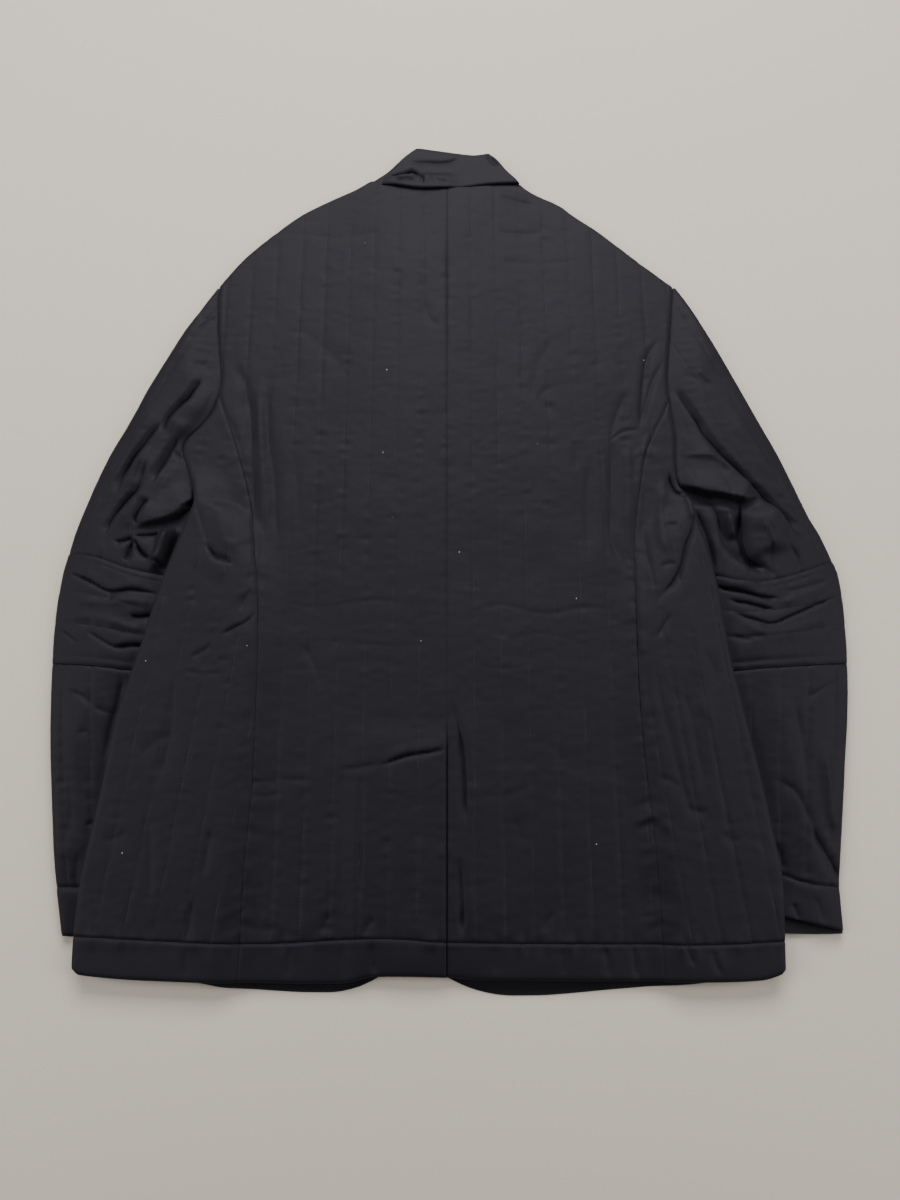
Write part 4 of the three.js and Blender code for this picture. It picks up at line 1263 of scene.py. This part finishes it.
def build_slab(
    name: str, grid: Grid, top: Array, bottom: Array, slide: Relief, uv: tuple[Array, Array]
) -> bpy.types.Object:
    """A closed slab between two heights over a grid; its underside has a quarter of its upper face's quads.

    Args:
        name: The object's name.
        grid: The grid.
        top: Height of each of its places.
        bottom: Height underneath.
        slide: How far each place of the upper face is moved across and along.
        uv: Channels across and along, at each place.

    Returns:
        The object, in metres.
    """
    rows, columns = grid.x.shape
    low_rows, low_columns = every_other(rows), every_other(columns)
    below = np.ix_(low_rows, low_columns)
    upper = np.stack((grid.x + slide.across, grid.y + slide.along, top), -1).reshape(-1, 3)
    under = lowest_around(np.minimum(bottom, top - LEAST_WALL))
    lower = np.stack((grid.x, grid.y, under), -1)[below].reshape(-1, 3)
    points = np.concatenate((upper, lower)) * MM
    quads, triangles = slab_faces(rows, columns, low_rows, low_columns)
    corners = np.concatenate((quads.ravel(), triangles.ravel()))
    starts = np.concatenate((np.arange(0, quads.size, 4), quads.size + np.arange(0, triangles.size, 3)))
    mesh = bpy.data.meshes.new(name)
    mesh.vertices.add(len(points))
    mesh.vertices.foreach_set("co", points.astype(np.float32).ravel())
    mesh.loops.add(len(corners))
    mesh.loops.foreach_set("vertex_index", corners.astype(np.int32))
    mesh.polygons.add(len(starts))
    mesh.polygons.foreach_set("loop_start", starts.astype(np.int32))
    mesh.polygons.foreach_set("use_smooth", np.ones(len(starts), bool))
    chart = mesh.uv_layers.new(name="cloth")
    places = np.stack(uv, -1)
    flat = np.concatenate((places.reshape(-1, 2), places[below].reshape(-1, 2)))[corners]
    chart.data.foreach_set("uv", flat.astype(np.float32).ravel())
    mesh.update(calc_edges=True)
    mesh.validate()
    piece = bpy.data.objects.new(name, mesh)
    bpy.context.scene.collection.objects.link(piece)
    return piece


# --------------------------------------------------------------------------------------------------
# Finishes


def srgb(code: str) -> tuple[float, float, float, float]:
    """A colour's linear values from its sRGB hex code.

    Args:
        code: Six hex digits.

    Returns:
        Red, green, blue and 1.
    """
    parts = [int(code[i : i + 2], 16) / 255 for i in (0, 2, 4)]
    linear = [c / 12.92 if c <= 0.04045 else ((c + 0.055) / 1.055) ** 2.4 for c in parts]
    return (linear[0], linear[1], linear[2], 1.0)


def empty_material(name: str) -> bpy.types.Material:
    """A material with no nodes yet.

    Args:
        name: Its name.

    Returns:
        The material.
    """
    made = bpy.data.materials.new(name)
    made.use_nodes = True
    made.node_tree.nodes.clear()
    return made


def node(
    tree: bpy.types.NodeTree, kind: str, links: dict | None = None, **settings: object
) -> bpy.types.Node:
    """Add a node with its settings and incoming links.

    Args:
        tree: The material's node tree.
        kind: The node's type.
        links: Input name or number to an output socket, or to a plain value.
        settings: The node's own properties.

    Returns:
        The node.
    """
    made = tree.nodes.new(kind)
    for key, value in settings.items():
        setattr(made, key, value)
    for key, value in (links or {}).items():
        if isinstance(value, bpy.types.NodeSocket):
            tree.links.new(value, made.inputs[key])
        else:
            made.inputs[key].default_value = value
    return made


@dataclass(frozen=True)
class QuiltedShell:
    """Matte polyester shell, woven and brushed, quilted through to its wadding with matching thread.

    The eye gets a soft bloom of light at grazing angles from the short nap, a fine grain from the weave,
    faint threads sunk along each stitch line, drawn paler than the cloth: partly the thread's own colour and
    partly a painted highlight where the stitches catch the light, and a little pale lint.
    """

    name: str = "woven brushed polyester shell, channel-quilted"
    colour: str = "08070a"
    worn: str = "0e0d11"
    # paler than the cloth: the thread's own colour with a painted highlight where the stitches catch the light
    thread: str = "2a2833"
    lint: str = "8d8c94"
    glint: str = "ebe7f6"  # light off the fibres, a little cool
    nap: str = "a9a7b8"
    roughness: float = 0.66
    weave_roughness: float = 0.12  # how much of that the weave varies
    nap_weight: float = 0.03
    nap_roughness: float = 0.42
    refraction: float = 1.5  # polyester
    gloss: float = 0.17
    thread_mm: float = 0.55
    stitch_mm: float = 3.4
    stitch_share: float = 0.68  # of each stitch's length, how much lies on top
    groove_mm: float = 2.2  # half the width that the thread draws down
    weave_mm: float = 0.9  # coarser than the real 0.3 mm, which is too fine to show
    mottle_mm: float = 45.0
    lint_mm: float = 34.0  # pitch of the cells that each hold one speck
    speck: float = 0.016  # a speck's radius, in cells
    patch_mm: float = 24.0  # size of the patches where the thread shows or sinks out of sight
    patch_from: float = 0.42
    patch_slope: float = 3.2
    thread_cover: float = 0.5
    groove_least: float = 0.1
    groove_more: float = 0.75
    weave_relief: float = 0.1
    thread_relief: float = 0.35
    relief_strength: float = 0.55
    relief_metres: float = 0.0006

    def material(self) -> bpy.types.Material:
        """The finish as a node material on the piece's own chart, in channels, and on object coordinates.

        Returns:
            The material.
        """
        made = empty_material(self.name)
        tree = made.node_tree
        chart = node(tree, "ShaderNodeUVMap", uv_map="cloth").outputs[0]
        place = node(tree, "ShaderNodeTexCoord").outputs["Object"]
        split = node(tree, "ShaderNodeSeparateXYZ", {0: chart})

        def math_node(operation: str, *values: object, clamp: bool = False) -> bpy.types.NodeSocket:
            """One step of arithmetic on sockets or plain values, as the socket that holds its result."""
            links = dict(enumerate(values))
            return node(tree, "ShaderNodeMath", links, operation=operation, use_clamp=clamp).outputs[0]

        def tinted(share: bpy.types.NodeSocket, under: object, over: str) -> bpy.types.NodeSocket:
            """A colour with a share of another, given by its code, laid over it."""
            links = {"Factor": share, 6: under, 7: srgb(over)}
            return node(tree, "ShaderNodeMix", links, data_type="RGBA").outputs[2]

        # distance to the nearest stitch line, in millimetres
        turned = math_node("FRACT", math_node("ADD", split.outputs[0], 0.5))
        off = math_node("MULTIPLY", math_node("ABSOLUTE", math_node("SUBTRACT", turned, 0.5)), QUILT_PITCH)
        along = math_node("MULTIPLY", split.outputs[1], QUILT_PITCH)
        beat = math_node("FRACT", math_node("DIVIDE", along, self.stitch_mm))
        dash = math_node("LESS_THAN", beat, self.stitch_share)
        on_line = math_node("SUBTRACT", 1.0, math_node("DIVIDE", off, self.thread_mm), clamp=True)
        stitches = math_node("MULTIPLY", on_line, dash)
        groove = math_node("SUBTRACT", 1.0, math_node("DIVIDE", off, self.groove_mm), clamp=True)
        groove = math_node("MULTIPLY", groove, groove)

        spacing = {"Vector": place, "Scale": 1 / (self.mottle_mm * MM), "Detail": 4.0}
        mottle = node(tree, "ShaderNodeTexNoise", spacing)
        spacing = {"Vector": place, "Scale": 1 / (self.weave_mm * MM), "Detail": 2.0}
        grain = node(tree, "ShaderNodeTexNoise", spacing)
        fleck = node(tree, "ShaderNodeTexVoronoi", {"Vector": place, "Scale": 1 / (self.lint_mm * MM)})
        specks = math_node("LESS_THAN", fleck.outputs["Distance"], self.speck)

        base = tinted(mottle.outputs[0], srgb(self.colour), self.worn)
        patches = node(tree, "ShaderNodeTexNoise", {"Vector": place, "Scale": 1 / (self.patch_mm * MM)})
        above = math_node("SUBTRACT", patches.outputs[0], self.patch_from)
        shows = math_node("MULTIPLY", above, self.patch_slope, clamp=True)
        # the paler thread laid on the stitch dashes where it shows: partly its own colour, partly a painted
        # highlight
        share = math_node("MULTIPLY", stitches, math_node("MULTIPLY", shows, self.thread_cover))
        base = tinted(specks, tinted(share, base, self.thread), self.lint)

        relief = math_node("MULTIPLY", grain.outputs[0], self.weave_relief)
        pulled = math_node("ADD", self.groove_least, math_node("MULTIPLY", shows, self.groove_more))
        relief = math_node("SUBTRACT", relief, math_node("MULTIPLY", groove, pulled))
        relief = math_node("ADD", relief, math_node("MULTIPLY", stitches, self.thread_relief))
        bump = node(
            tree,
            "ShaderNodeBump",
            {"Height": relief, "Strength": self.relief_strength, "Distance": self.relief_metres},
        )
        uneven = math_node("MULTIPLY", grain.outputs[0], self.weave_roughness)
        rough = math_node("ADD", uneven, self.roughness - self.weave_roughness / 2)
        shader = node(
            tree,
            "ShaderNodeBsdfPrincipled",
            {
                "Base Color": base,
                "Roughness": rough,
                "Normal": bump.outputs[0],
                "IOR": self.refraction,
                "Specular IOR Level": self.gloss,
                "Specular Tint": srgb(self.glint),
                "Sheen Weight": self.nap_weight,
                "Sheen Roughness": self.nap_roughness,
                "Sheen Tint": srgb(self.nap),
            },
        )
        node(tree, "ShaderNodeOutputMaterial", {"Surface": shader.outputs[0]})
        return made


@dataclass(frozen=True)
class StudioPaper:
    """Matte pale paper under the coat, pressed smooth, so it gives only a soft even tone."""

    name: str = "matte pale backdrop paper"
    colour: str = "a59d91"
    roughness: float = 0.85
    tooth_per_metre: float = 900.0
    tooth_strength: float = 0.1
    tooth_metres: float = 0.0004

    def material(self) -> bpy.types.Material:
        """The finish as a node material with a very faint tooth.

        Returns:
            The material.
        """
        made = empty_material(self.name)
        tree = made.node_tree
        place = node(tree, "ShaderNodeTexCoord").outputs["Object"]
        tooth = node(tree, "ShaderNodeTexNoise", {"Vector": place, "Scale": self.tooth_per_metre})
        bump = node(
            tree,
            "ShaderNodeBump",
            {"Height": tooth.outputs[0], "Strength": self.tooth_strength, "Distance": self.tooth_metres},
        )
        shader = node(
            tree,
            "ShaderNodeBsdfPrincipled",
            {"Base Color": srgb(self.colour), "Roughness": self.roughness, "Normal": bump.outputs[0]},
        )
        node(tree, "ShaderNodeOutputMaterial", {"Surface": shader.outputs[0]})
        return made


# --------------------------------------------------------------------------------------------------
# The coat's sub-assemblies


@dataclass
class Workroom:
    """What every sub-assembly needs: the two cloths."""

    cloths: dict[Cloth, bpy.types.Material] = field(default_factory=dict)

    def __post_init__(self) -> None:
        """Make the two finishes."""
        self.cloths[Cloth.QUILTED] = QuiltedShell().material()
        self.cloths[Cloth.TRIM] = QuiltedShell(
            name="woven brushed polyester shell, bands and collar", colour="070609", worn="0d0c10"
        ).material()

    def dress(
        self,
        name: str,
        cloth: Cloth,
        grid: Grid,
        top: Array,
        bottom: Array,
        quilting: Quilting,
        relief: Relief | None = None,
    ) -> None:
        """Build a piece, give it its cloth and put it in its node's place.

        Args:
            name: The node that it stands for.
            cloth: What it is cut from.
            grid: Its grid.
            top: Heights of its upper face.
            bottom: Heights of its lower face.
            quilting: Its stitch lines.
            relief: Its folds, whose rise is already in its upper face.
        """
        chart = (quilting.phase(grid.x, grid.y), quilting.along(grid.x, grid.y))
        piece = build_slab(f"{name}_cloth", grid, top, bottom, relief or Relief.flat(grid.x), chart)
        piece.data.materials.append(self.cloths[cloth])
        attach(piece, "root")
        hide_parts(name)


def rounded(edge: Array, reach: float, depth: float) -> Array:
    """How far a free edge is rounded down at a distance from it: depth * (1 - sqrt(1 - (1 - d / reach)^2)).

    Args:
        edge: Distance to the edge.
        reach: Distance over which it rounds.
        depth: Fall at the edge itself.

    Returns:
        The fall.
    """
    t = 1 - np.clip(edge / reach, 0.0, 1.0)
    return depth * (1 - np.sqrt(np.maximum(0.0, 1 - t * t)))


def seam_dip(edge: Array, depth: float = 1.1, reach: float = 1.9) -> Array:
    """How far cloth is drawn down into a seam, as depth * bell(distance, reach)."""
    return depth * bell(edge, reach)


def held_above(top: Array, least: Array) -> Array:
    """Heights kept above a least one, bending softly: least + (gap + sqrt(gap squared + softness)) / 2."""
    gap = top - least
    return least + 0.5 * (gap + np.sqrt(gap * gap + SOFTNESS))


def gathers(x: Array, y: Array, edge: Array, rise: float = 0.32) -> Array:
    """Small upright puckers along a level seam: rise * noise, fading with the bell of the distance to it.

    Args:
        x: Places across.
        y: Places along.
        edge: Distance to the seam.
        rise: Height of the puckers.

    Returns:
        Height to add.
    """
    swell = smooth(0.5 + 0.7 * noise(x, y, 46.0, 200.0, 52))
    return rise * (0.35 + swell) * bell(edge, 9.0) * noise(x, y, 6.2, 26.0, 51)


def folded(grid: Grid, creases: Sequence[Fold]) -> Relief:
    """What a set of folds does to a grid, with no slide left at the piece's edges.

    Args:
        grid: The grid.
        creases: The folds.

    Returns:
        The relief.
    """
    log.debug("folds: %s", ", ".join(fold.name for fold in creases))
    relief = Relief.flat(grid.x)
    for fold in creases:
        fold.add_to(relief, grid.x, grid.y)
    across = np.minimum(grid.from_left, grid.from_right)
    inside = smooth(np.minimum(across, np.minimum(grid.from_foot, grid.from_head)) / 5)
    return relief.faded(1.0, inside)


@dataclass
class BackBody:
    """One side of the back: centre panel, side panel and their two lengths of hem band."""

    side: Side
    side_fullness: float  # how full the side panel's channels are, as a share of the centre panel's
    pucker_rise: float
    lean: float = 0.125  # of the side panel's stitch lines, outwards as they go down
    vent_ease: float = 8.0
    hem_y: float = -380.0  # level below which its outer edge no longer comes down onto the front

    def build(self, room: Workroom) -> None:
        """Make the four pieces.

        Args:
            room: The workroom.
        """
        pattern = PATTERNS[self.side]
        sign, word = pattern.sign, self.side.word
        centre = level(CENTRE_X + sign * SEAM_HAIR)

        def side_start(y: Array) -> Array:
            """The side panel's edge at level y, the whole gap outside the centre panel's."""
            return pattern.long_seam(y) + sign * 2 * SEAM_HAIR

        back_edges = left_first(sign, centre, pattern.back_edge)
        side_edges = left_first(sign, side_start, pattern.body_edge)
        origin = float(pattern.long_seam(HEM_QUILT_Y)) + sign * QUILT_PITCH * 0.92
        panels = (
            ("back", back_edges, NECK_Y, lengthwise(CENTRE_X), BACK_CREASES),
            ("side", side_edges, pattern.side_head, lengthwise(origin, -sign * self.lean), SIDES_CREASES),
        )
        for panel, (left, right), head, quilting, creases in panels:
            is_side = panel == "side"
            lay = Lay(HEM_STITCHES, level(head), left, right, spread=90.0)
            grid = lay.grid()
            relief = folded(grid, creases)
            top, bottom = self.heights(pattern, grid, quilting, relief, is_side)
            top += gathers(grid.x, grid.y, grid.from_foot, rise=0.45)
            top -= seam_dip(grid.from_foot, depth=0.9, reach=1.3)
            name = f"{panel}_{word}"
            room.dress(name, Cloth.QUILTED, grid, top, bottom, quilting, relief)

            band = Lay(HEM_FOOT, lambda x: HEM_STITCHES(x) - HEM_GAP, left, right, step_y=2.2)
            grid = band.grid()
            relief = folded(grid, HEM_CREASES)
            top, bottom = self.heights(pattern, grid, plain_cloth(), relief, is_side)
            top += gathers(grid.x, grid.y, grid.from_head, rise=0.5)
            foot = rounded(grid.from_foot, reach=4.0, depth=2.2)
            top -= seam_dip(grid.from_head, depth=0.7, reach=1.3) + foot
            stitches = top_stitched(HEM_STITCHES, inset=1.6)
            name = f"{panel}_hem_{word}"
            room.dress(name, Cloth.TRIM, grid, top, bottom, stitches, relief)

    def heights(
        self,
        pattern: Pattern,
        grid: Grid,
        quilting: Quilting,
        relief: Relief,
        is_side: bool,
    ) -> tuple[Array, Array]:
        """Upper and lower heights of a panel of the back.

        The outer edge is rounded where it is free and drawn down where it is sewn, and the edge towards the
        centre likewise: free below the vent's top, sewn above it.

        Args:
            pattern: The side's outlines.
            grid: The panel's grid.
            quilting: Its stitch lines.
            relief: Its folds.
            is_side: Whether it is the side panel.

        Returns:
            The two heights.
        """
        x, y, sign = grid.x, grid.y, pattern.sign
        inner, outer = grid.sideways(sign)
        over_flap = sign < 0 and not is_side
        floor = Stack.back_floor(x, y, over_flap)
        free = 1 - smooth((y - pattern.underarm) / 8) if is_side else smooth((y - SHOULDER_TIP_Y) / 6)
        open_vent = 0.0 if is_side else smooth((VENT_TOP_Y + 6 - y) / self.vent_ease)
        hem_lift = smooth((self.hem_y - y) / 20)
        fullness = self.side_fullness if is_side else 1.0
        top = floor + Stack.back_bridge(x, y) + CLOTH + quilting.relief(x, y) * fullness
        top += quilting.slack(x, y) + relief.rise
        top += Pucker(pattern.long_seam, -400, 120, self.pucker_rise, seed=31 + sign).height(x, y)
        top += Pucker(level(CENTRE_X), -210, 380, 0.2, reach=9.0, pitch=8.0, seed=41).height(x, y)
        top -= free * rounded(outer, reach=6.0, depth=2.4) + (1 - free) * seam_dip(outer)
        drawn = 0.9 if is_side else 0.3
        top -= (1 - open_vent) * drawn * seam_dip(inner) + open_vent * rounded(inner, reach=2.5, depth=1.2)
        sag = np.clip(floor + 1.2 - top, 0.0, BACK_SLACK)
        bottom = floor - free * (BACK_SLACK + 0.2) * (1 - smooth(outer / 16)) * (1 - hem_lift)
        bottom = np.minimum(bottom, floor - sag)
        return held_above(top, bottom + 0.6), bottom


@dataclass
class VentFlap:
    """The right back's flap under the left back, along the vent."""

    lift: float = 2.3 * LAYER_GAP
    short: float = 1.5  # how far its foot stays above the hem's

    def build(self, room: Workroom) -> None:
        """Make the flap.

        Args:
            room: The workroom.
        """
        lay = Lay(
            lambda x: HEM_FOOT(x) + self.short,
            level(VENT_TOP_Y - 1),
            level(VENT_FOLD_X + 1),
            level(CENTRE_X - 1),
            step_x=6.0,
            step_y=8.0,
            spread=90.0,
        )
        grid = lay.grid()
        bottom = Stack.front_top(grid.x, grid.y) + self.lift
        top = bottom + VENT_CLOTH
        room.dress("vent_underlap", Cloth.QUILTED, grid, top, bottom, lengthwise(CENTRE_X))


@dataclass
class Front:
    """A front, hidden by the back but for its rounded corner, and quilted down to the facing of its hem."""

    side: Side
    facing: float = 24.0
    tuck: float = 0.8  # how far its side edge stays inside the back's
    edge_fall: float = 3.1  # how much thinner it gets towards its edges
    edge_reach: float = 13.0

    def build(self, room: Workroom) -> None:
        """Make the front.

        Args:
            room: The workroom.
        """
        pattern, corner = PATTERNS[self.side], CORNERS[self.side]
        sign = pattern.sign

        def outer(y: Array) -> Array:
            """The side edge at level y."""
            return pattern.body_edge(y) - sign * self.tuck

        edges = left_first(sign, corner.edge, outer)
        hem = FRONT_HEMS[self.side]
        lay = Lay(hem, level(NECK_Y), *edges, step_x=4.5, step_y=4.5, spread=90.0, crowd=1.25)
        grid = lay.grid()
        x, y = grid.x, grid.y
        centre, side_edge = grid.sideways(sign)
        bottom = Stack.body_floor(x, y)
        if self.side is Side.RIGHT:
            bottom = bottom + Stack.lap_rise(x, y)
        near_edge = np.minimum(np.minimum(centre, grid.from_foot), side_edge)
        top = bottom + PLAIN_CLOTH - self.edge_fall * (1 - smooth(near_edge / self.edge_reach))
        under = bottom + rounded(near_edge, reach=4.0, depth=1.2)
        quilting = plain_below(lengthwise(CENTRE_X), lambda x: hem(x) + self.facing)
        name = f"front_{self.side.word}"
        room.dress(name, Cloth.QUILTED, grid, top, under, quilting)


@dataclass
class Sleeve:
    """A sleeve: upper sleeve, elbow band, forearm and cuff, each with an upper and an under layer."""

    side: Side
    band_channels: int = 3
    outer_round: float = 5.5
    mouth: float = 3.2

    def build(self, room: Workroom) -> None:
        """Make the eight pieces.

        Args:
            room: The workroom.
        """
        side = self.side
        pattern = PATTERNS[side]
        top, foot, line, edge = BAND_TOPS[side], BAND_FEET[side], CUFF_LINES[side], CUFF_EDGES[side]
        lengthways = sleeve_quilting(pattern)
        band = crosswise(foot, top, self.band_channels)
        lengths = (  # name, lower and upper edge, stitch lines, cloth, spread of its rows, extra thickness
            ("upper_sleeve", top, level(SHOULDER_TIP_Y), lengthways, Cloth.QUILTED, 90.0, 0.0),
            ("elbow_band", foot, top, band, Cloth.TRIM, 0.0, 0.5),
            ("forearm", line, foot, lengthways, Cloth.QUILTED, 0.0, 0.0),
            ("cuff", edge, line, top_stitched(line, 1.8), Cloth.TRIM, 0.0, 0.2),
        )
        for part, low, high, quilting, cloth, spread, extra in lengths:
            left, right = left_first(pattern.sign, pattern.sleeve_edge, pattern.outer)
            lay = Lay(low, high, left, right, step_x=1.5, step_y=1.6, spread=spread)
            self.upper_layer(room, part, lay.grid(), quilting, cloth, extra)
            under_foot = CUFF_UNDER_EDGES[side] if part == "cuff" else low
            coarse = replace(lay, foot=under_foot, step_x=4.0, step_y=4.0)
            self.under_layer(room, part, coarse.grid(), quilting, cloth)

    def upper_layer(
        self,
        room: Workroom,
        part: str,
        grid: Grid,
        quilting: Quilting,
        cloth: Cloth,
        extra: float,
    ) -> None:
        """Make the upper layer of one length.

        Args:
            room: The workroom.
            part: Name of the length.
            grid: Its grid.
            quilting: Its stitch lines.
            cloth: What it is cut from.
            extra: How much thicker than the sleeve it is.
        """
        pattern = PATTERNS[self.side]
        x, y, word = grid.x, grid.y, self.side.word
        inner, outer = grid.sideways(pattern.sign)
        puff = Stack.sleeve_puff(pattern, x, y)
        opened = Stack.open_sleeve(pattern, x, y)
        at_body = smooth((y - pattern.underarm) / 6)
        floor = PLAIN_CLOTH + LAYER_GAP + 0.05 * puff
        full = quilting.relief(x, y) + quilting.slack(x, y) * 1.1
        top = floor + CLOTH + extra + full * (0.25 + 0.75 * opened) + 1.15 * puff
        near = smooth(pattern.sign * (x - pattern.body_edge(y)) / 4)
        relief = folded(grid, SLEEVE_CREASES[self.side]).faded(near, near)
        top += relief.rise - (1 - opened) * 0.6
        top -= rounded(outer, self.outer_round, depth=3.6) + at_body * seam_dip(inner, depth=1.4)
        if part == "cuff":
            mouth = self.mouth * smooth(1 - grid.from_foot / 30) * smooth(outer / 70)
            floor = floor + mouth
            top += mouth - rounded(grid.from_foot, reach=3.0, depth=1.6)
        else:
            top += gathers(x, y, grid.from_foot, rise=0.25) - seam_dip(grid.from_foot)
        if part != "upper_sleeve":
            top += gathers(x, y, grid.from_head, rise=0.25) - seam_dip(grid.from_head)
        top = held_above(top, floor + LEAST_WALL)
        room.dress(f"{part}_{word}_back", cloth, grid, top, floor, quilting, relief)

    def under_layer(self, room: Workroom, part: str, grid: Grid, quilting: Quilting, cloth: Cloth) -> None:
        """Make the under layer of one length, which meets the upper one at the outer edge.

        Args:
            room: The workroom.
            part: Name of the length.
            grid: Its grid.
            quilting: Its stitch lines.
            cloth: What it is cut from.
        """
        pattern = PATTERNS[self.side]
        outer = grid.sideways(pattern.sign)[1]
        puff = Stack.sleeve_puff(pattern, grid.x, grid.y)
        rising = (LAYER_GAP - 0.1) * (1 - smooth(outer / 8))
        top = PLAIN_CLOTH + 0.03 * puff + rising
        bottom = rounded(outer, self.outer_round, depth=2.6)
        room.dress(f"{part}_{self.side.word}_front", cloth, grid, top, bottom, quilting)


@dataclass
class Collar:
    """The collar: the fall folded over its stand, and the front half under both."""

    fall_cloth: float = 2.9
    roll: float = 5.0
    over_seam: float = 0.7  # how far the fall stays above the back's neck seam

    def build(self, room: Workroom) -> None:
        """Make the three layers.

        Args:
            room: The workroom.
        """
        left, fall_left, right = (curve(COLLAR_ENDS, column) for column in (1, 2, 3))
        stand_floor = PLAIN_CLOTH + LAYER_GAP + BACK_SLACK
        stand_top = stand_floor + CLOTH + LAYER_GAP
        quilting = plain_cloth()
        grid = Lay(COLLAR_FALL_EDGE, COLLAR_TOP, fall_left, right, step_x=1.5, step_y=1.5).grid()
        x, y = grid.x, grid.y
        on_stand = stand_top + LAYER_GAP
        neck = np.full_like(y, NECK_Y)
        on_back = Stack.back_floor(x, neck) + CLOTH + self.over_seam + 2 * LAYER_GAP
        ease = smooth((NECK_Y + 12 - y) / 10)
        bottom = on_stand + (np.maximum(on_stand, on_back) - on_stand) * ease
        relief = folded(grid, COLLAR_CREASES)
        top = bottom + self.fall_cloth + quilting.slack(x, y) + relief.rise
        edge = np.minimum(grid.from_left, grid.from_right)
        free = np.minimum(edge, grid.from_foot)
        top -= rounded(free, reach=2.6, depth=2.0) + rounded(grid.from_head, self.roll, depth=2.4)
        top = held_above(top, bottom + LEAST_WALL)
        room.dress("collar_fall", Cloth.TRIM, grid, top, bottom, quilting, relief)
        layers = (("collar_stand", 1.0, stand_floor, stand_top), ("collar_front", 2.0, 0.0, PLAIN_CLOTH))
        for name, inset, floor, ceiling in layers:
            lay = Lay(
                level(NECK_Y + 0.3),
                lambda x, inset=inset: COLLAR_TOP(x) - inset,
                lambda y, inset=inset: left(y) + inset,
                lambda y, inset=inset: right(y) - inset,
                step_x=3.0,
                step_y=3.0,
            )
            grid = lay.grid()
            near = np.minimum(np.minimum(grid.from_left, grid.from_right), grid.from_head)
            top = np.full_like(grid.x, ceiling) - rounded(near, reach=3.0, depth=1.2)
            bottom = np.full_like(grid.x, floor) + rounded(near, reach=3.0, depth=1.0)
            room.dress(name, Cloth.TRIM, grid, top, bottom, quilting)


@dataclass(frozen=True)
class Lamp:
    """A soft rectangular lamp, in metres and watts."""

    name: str
    place: tuple[float, float, float]
    size: tuple[float, float]
    watts: float
    target: tuple[float, float, float]

    def hang(self) -> None:
        """Hang it in its place, turned towards its target."""
        data = bpy.data.lights.new(self.name, "AREA")
        data.shape = "RECTANGLE"
        data.size, data.size_y = self.size
        data.energy = self.watts
        lamp = bpy.data.objects.new(self.name, data)
        aim = np.subtract(self.target, self.place)
        turn = math.atan2(aim[1], aim[0]) - math.pi / 2
        lamp.location = self.place
        lamp.rotation_euler = (math.atan2(math.hypot(aim[0], aim[1]), -aim[2]), 0.0, turn)
        bpy.context.scene.collection.objects.link(lamp)


LAMPS = (
    Lamp("window_above", (0.0, 1.45, 1.4), (1.6, 1.0), 82.0, (0.0, 0.1, 0.0)),
    Lamp("soft_left", (-1.6, -0.15, 1.25), (0.9, 1.5), 35.0, (-0.35, -0.15, 0.0)),
    Lamp("soft_right", (1.6, -0.15, 1.25), (0.9, 1.5), 35.0, (0.35, -0.15, 0.0)),
)


@dataclass(frozen=True)
class Studio:
    """Camera, floor and lights, in metres."""

    lens_mm: float = 27.03
    sensor_mm: float = 36.0
    near_and_far: tuple[float, float] = (0.02, 60.0)
    tilt_deg: float = 14.6
    eye: tuple[float, float, float] = (0.0, -0.294, 0.834)
    floor_size: float = 9.0
    floor_z: float = -0.0004  # a little under the coat
    sky: str = "e6e8ec"
    sky_strength: float = 0.07

    def build(self) -> None:
        """Set the camera over the coat, lay the floor, hang the lamps and light the room around."""
        scene = bpy.context.scene
        data = bpy.data.cameras.new("camera")
        data.lens, data.sensor_width, data.sensor_fit = self.lens_mm, self.sensor_mm, "AUTO"
        data.clip_start, data.clip_end = self.near_and_far
        camera = bpy.data.objects.new("camera", data)
        camera.location = self.eye
        camera.rotation_euler = (math.radians(self.tilt_deg), 0.0, 0.0)
        scene.collection.objects.link(camera)
        scene.camera = camera

        half = self.floor_size / 2
        corners = [(x * half, y * half, self.floor_z) for x, y in ((-1, -1), (1, -1), (1, 1), (-1, 1))]
        mesh = bpy.data.meshes.new("floor")
        mesh.from_pydata(corners, [], [(0, 1, 2, 3)])
        floor = bpy.data.objects.new("floor", mesh)
        mesh.materials.append(StudioPaper().material())
        scene.collection.objects.link(floor)

        for lamp in LAMPS:
            lamp.hang()
        world = bpy.data.worlds.new("studio")
        scene.world = world
        world.use_nodes = True
        background = world.node_tree.nodes["Background"]
        background.inputs[0].default_value = srgb(self.sky)
        background.inputs[1].default_value = self.sky_strength


def main() -> None:
    """Build the studio and the coat."""
    logging.basicConfig(level=logging.INFO, format="%(name)s: %(message)s")
    Studio().build()
    room = Workroom()
    for side in Side:
        Front(side).build(room)
        Sleeve(side).build(room)
        BackBody(side, SIDE_FULLNESS[side], LONG_SEAM_PUCKERS[side]).build(room)
    VentFlap().build(room)
    Collar().build(room)


if __name__ == "__main__":
    main()
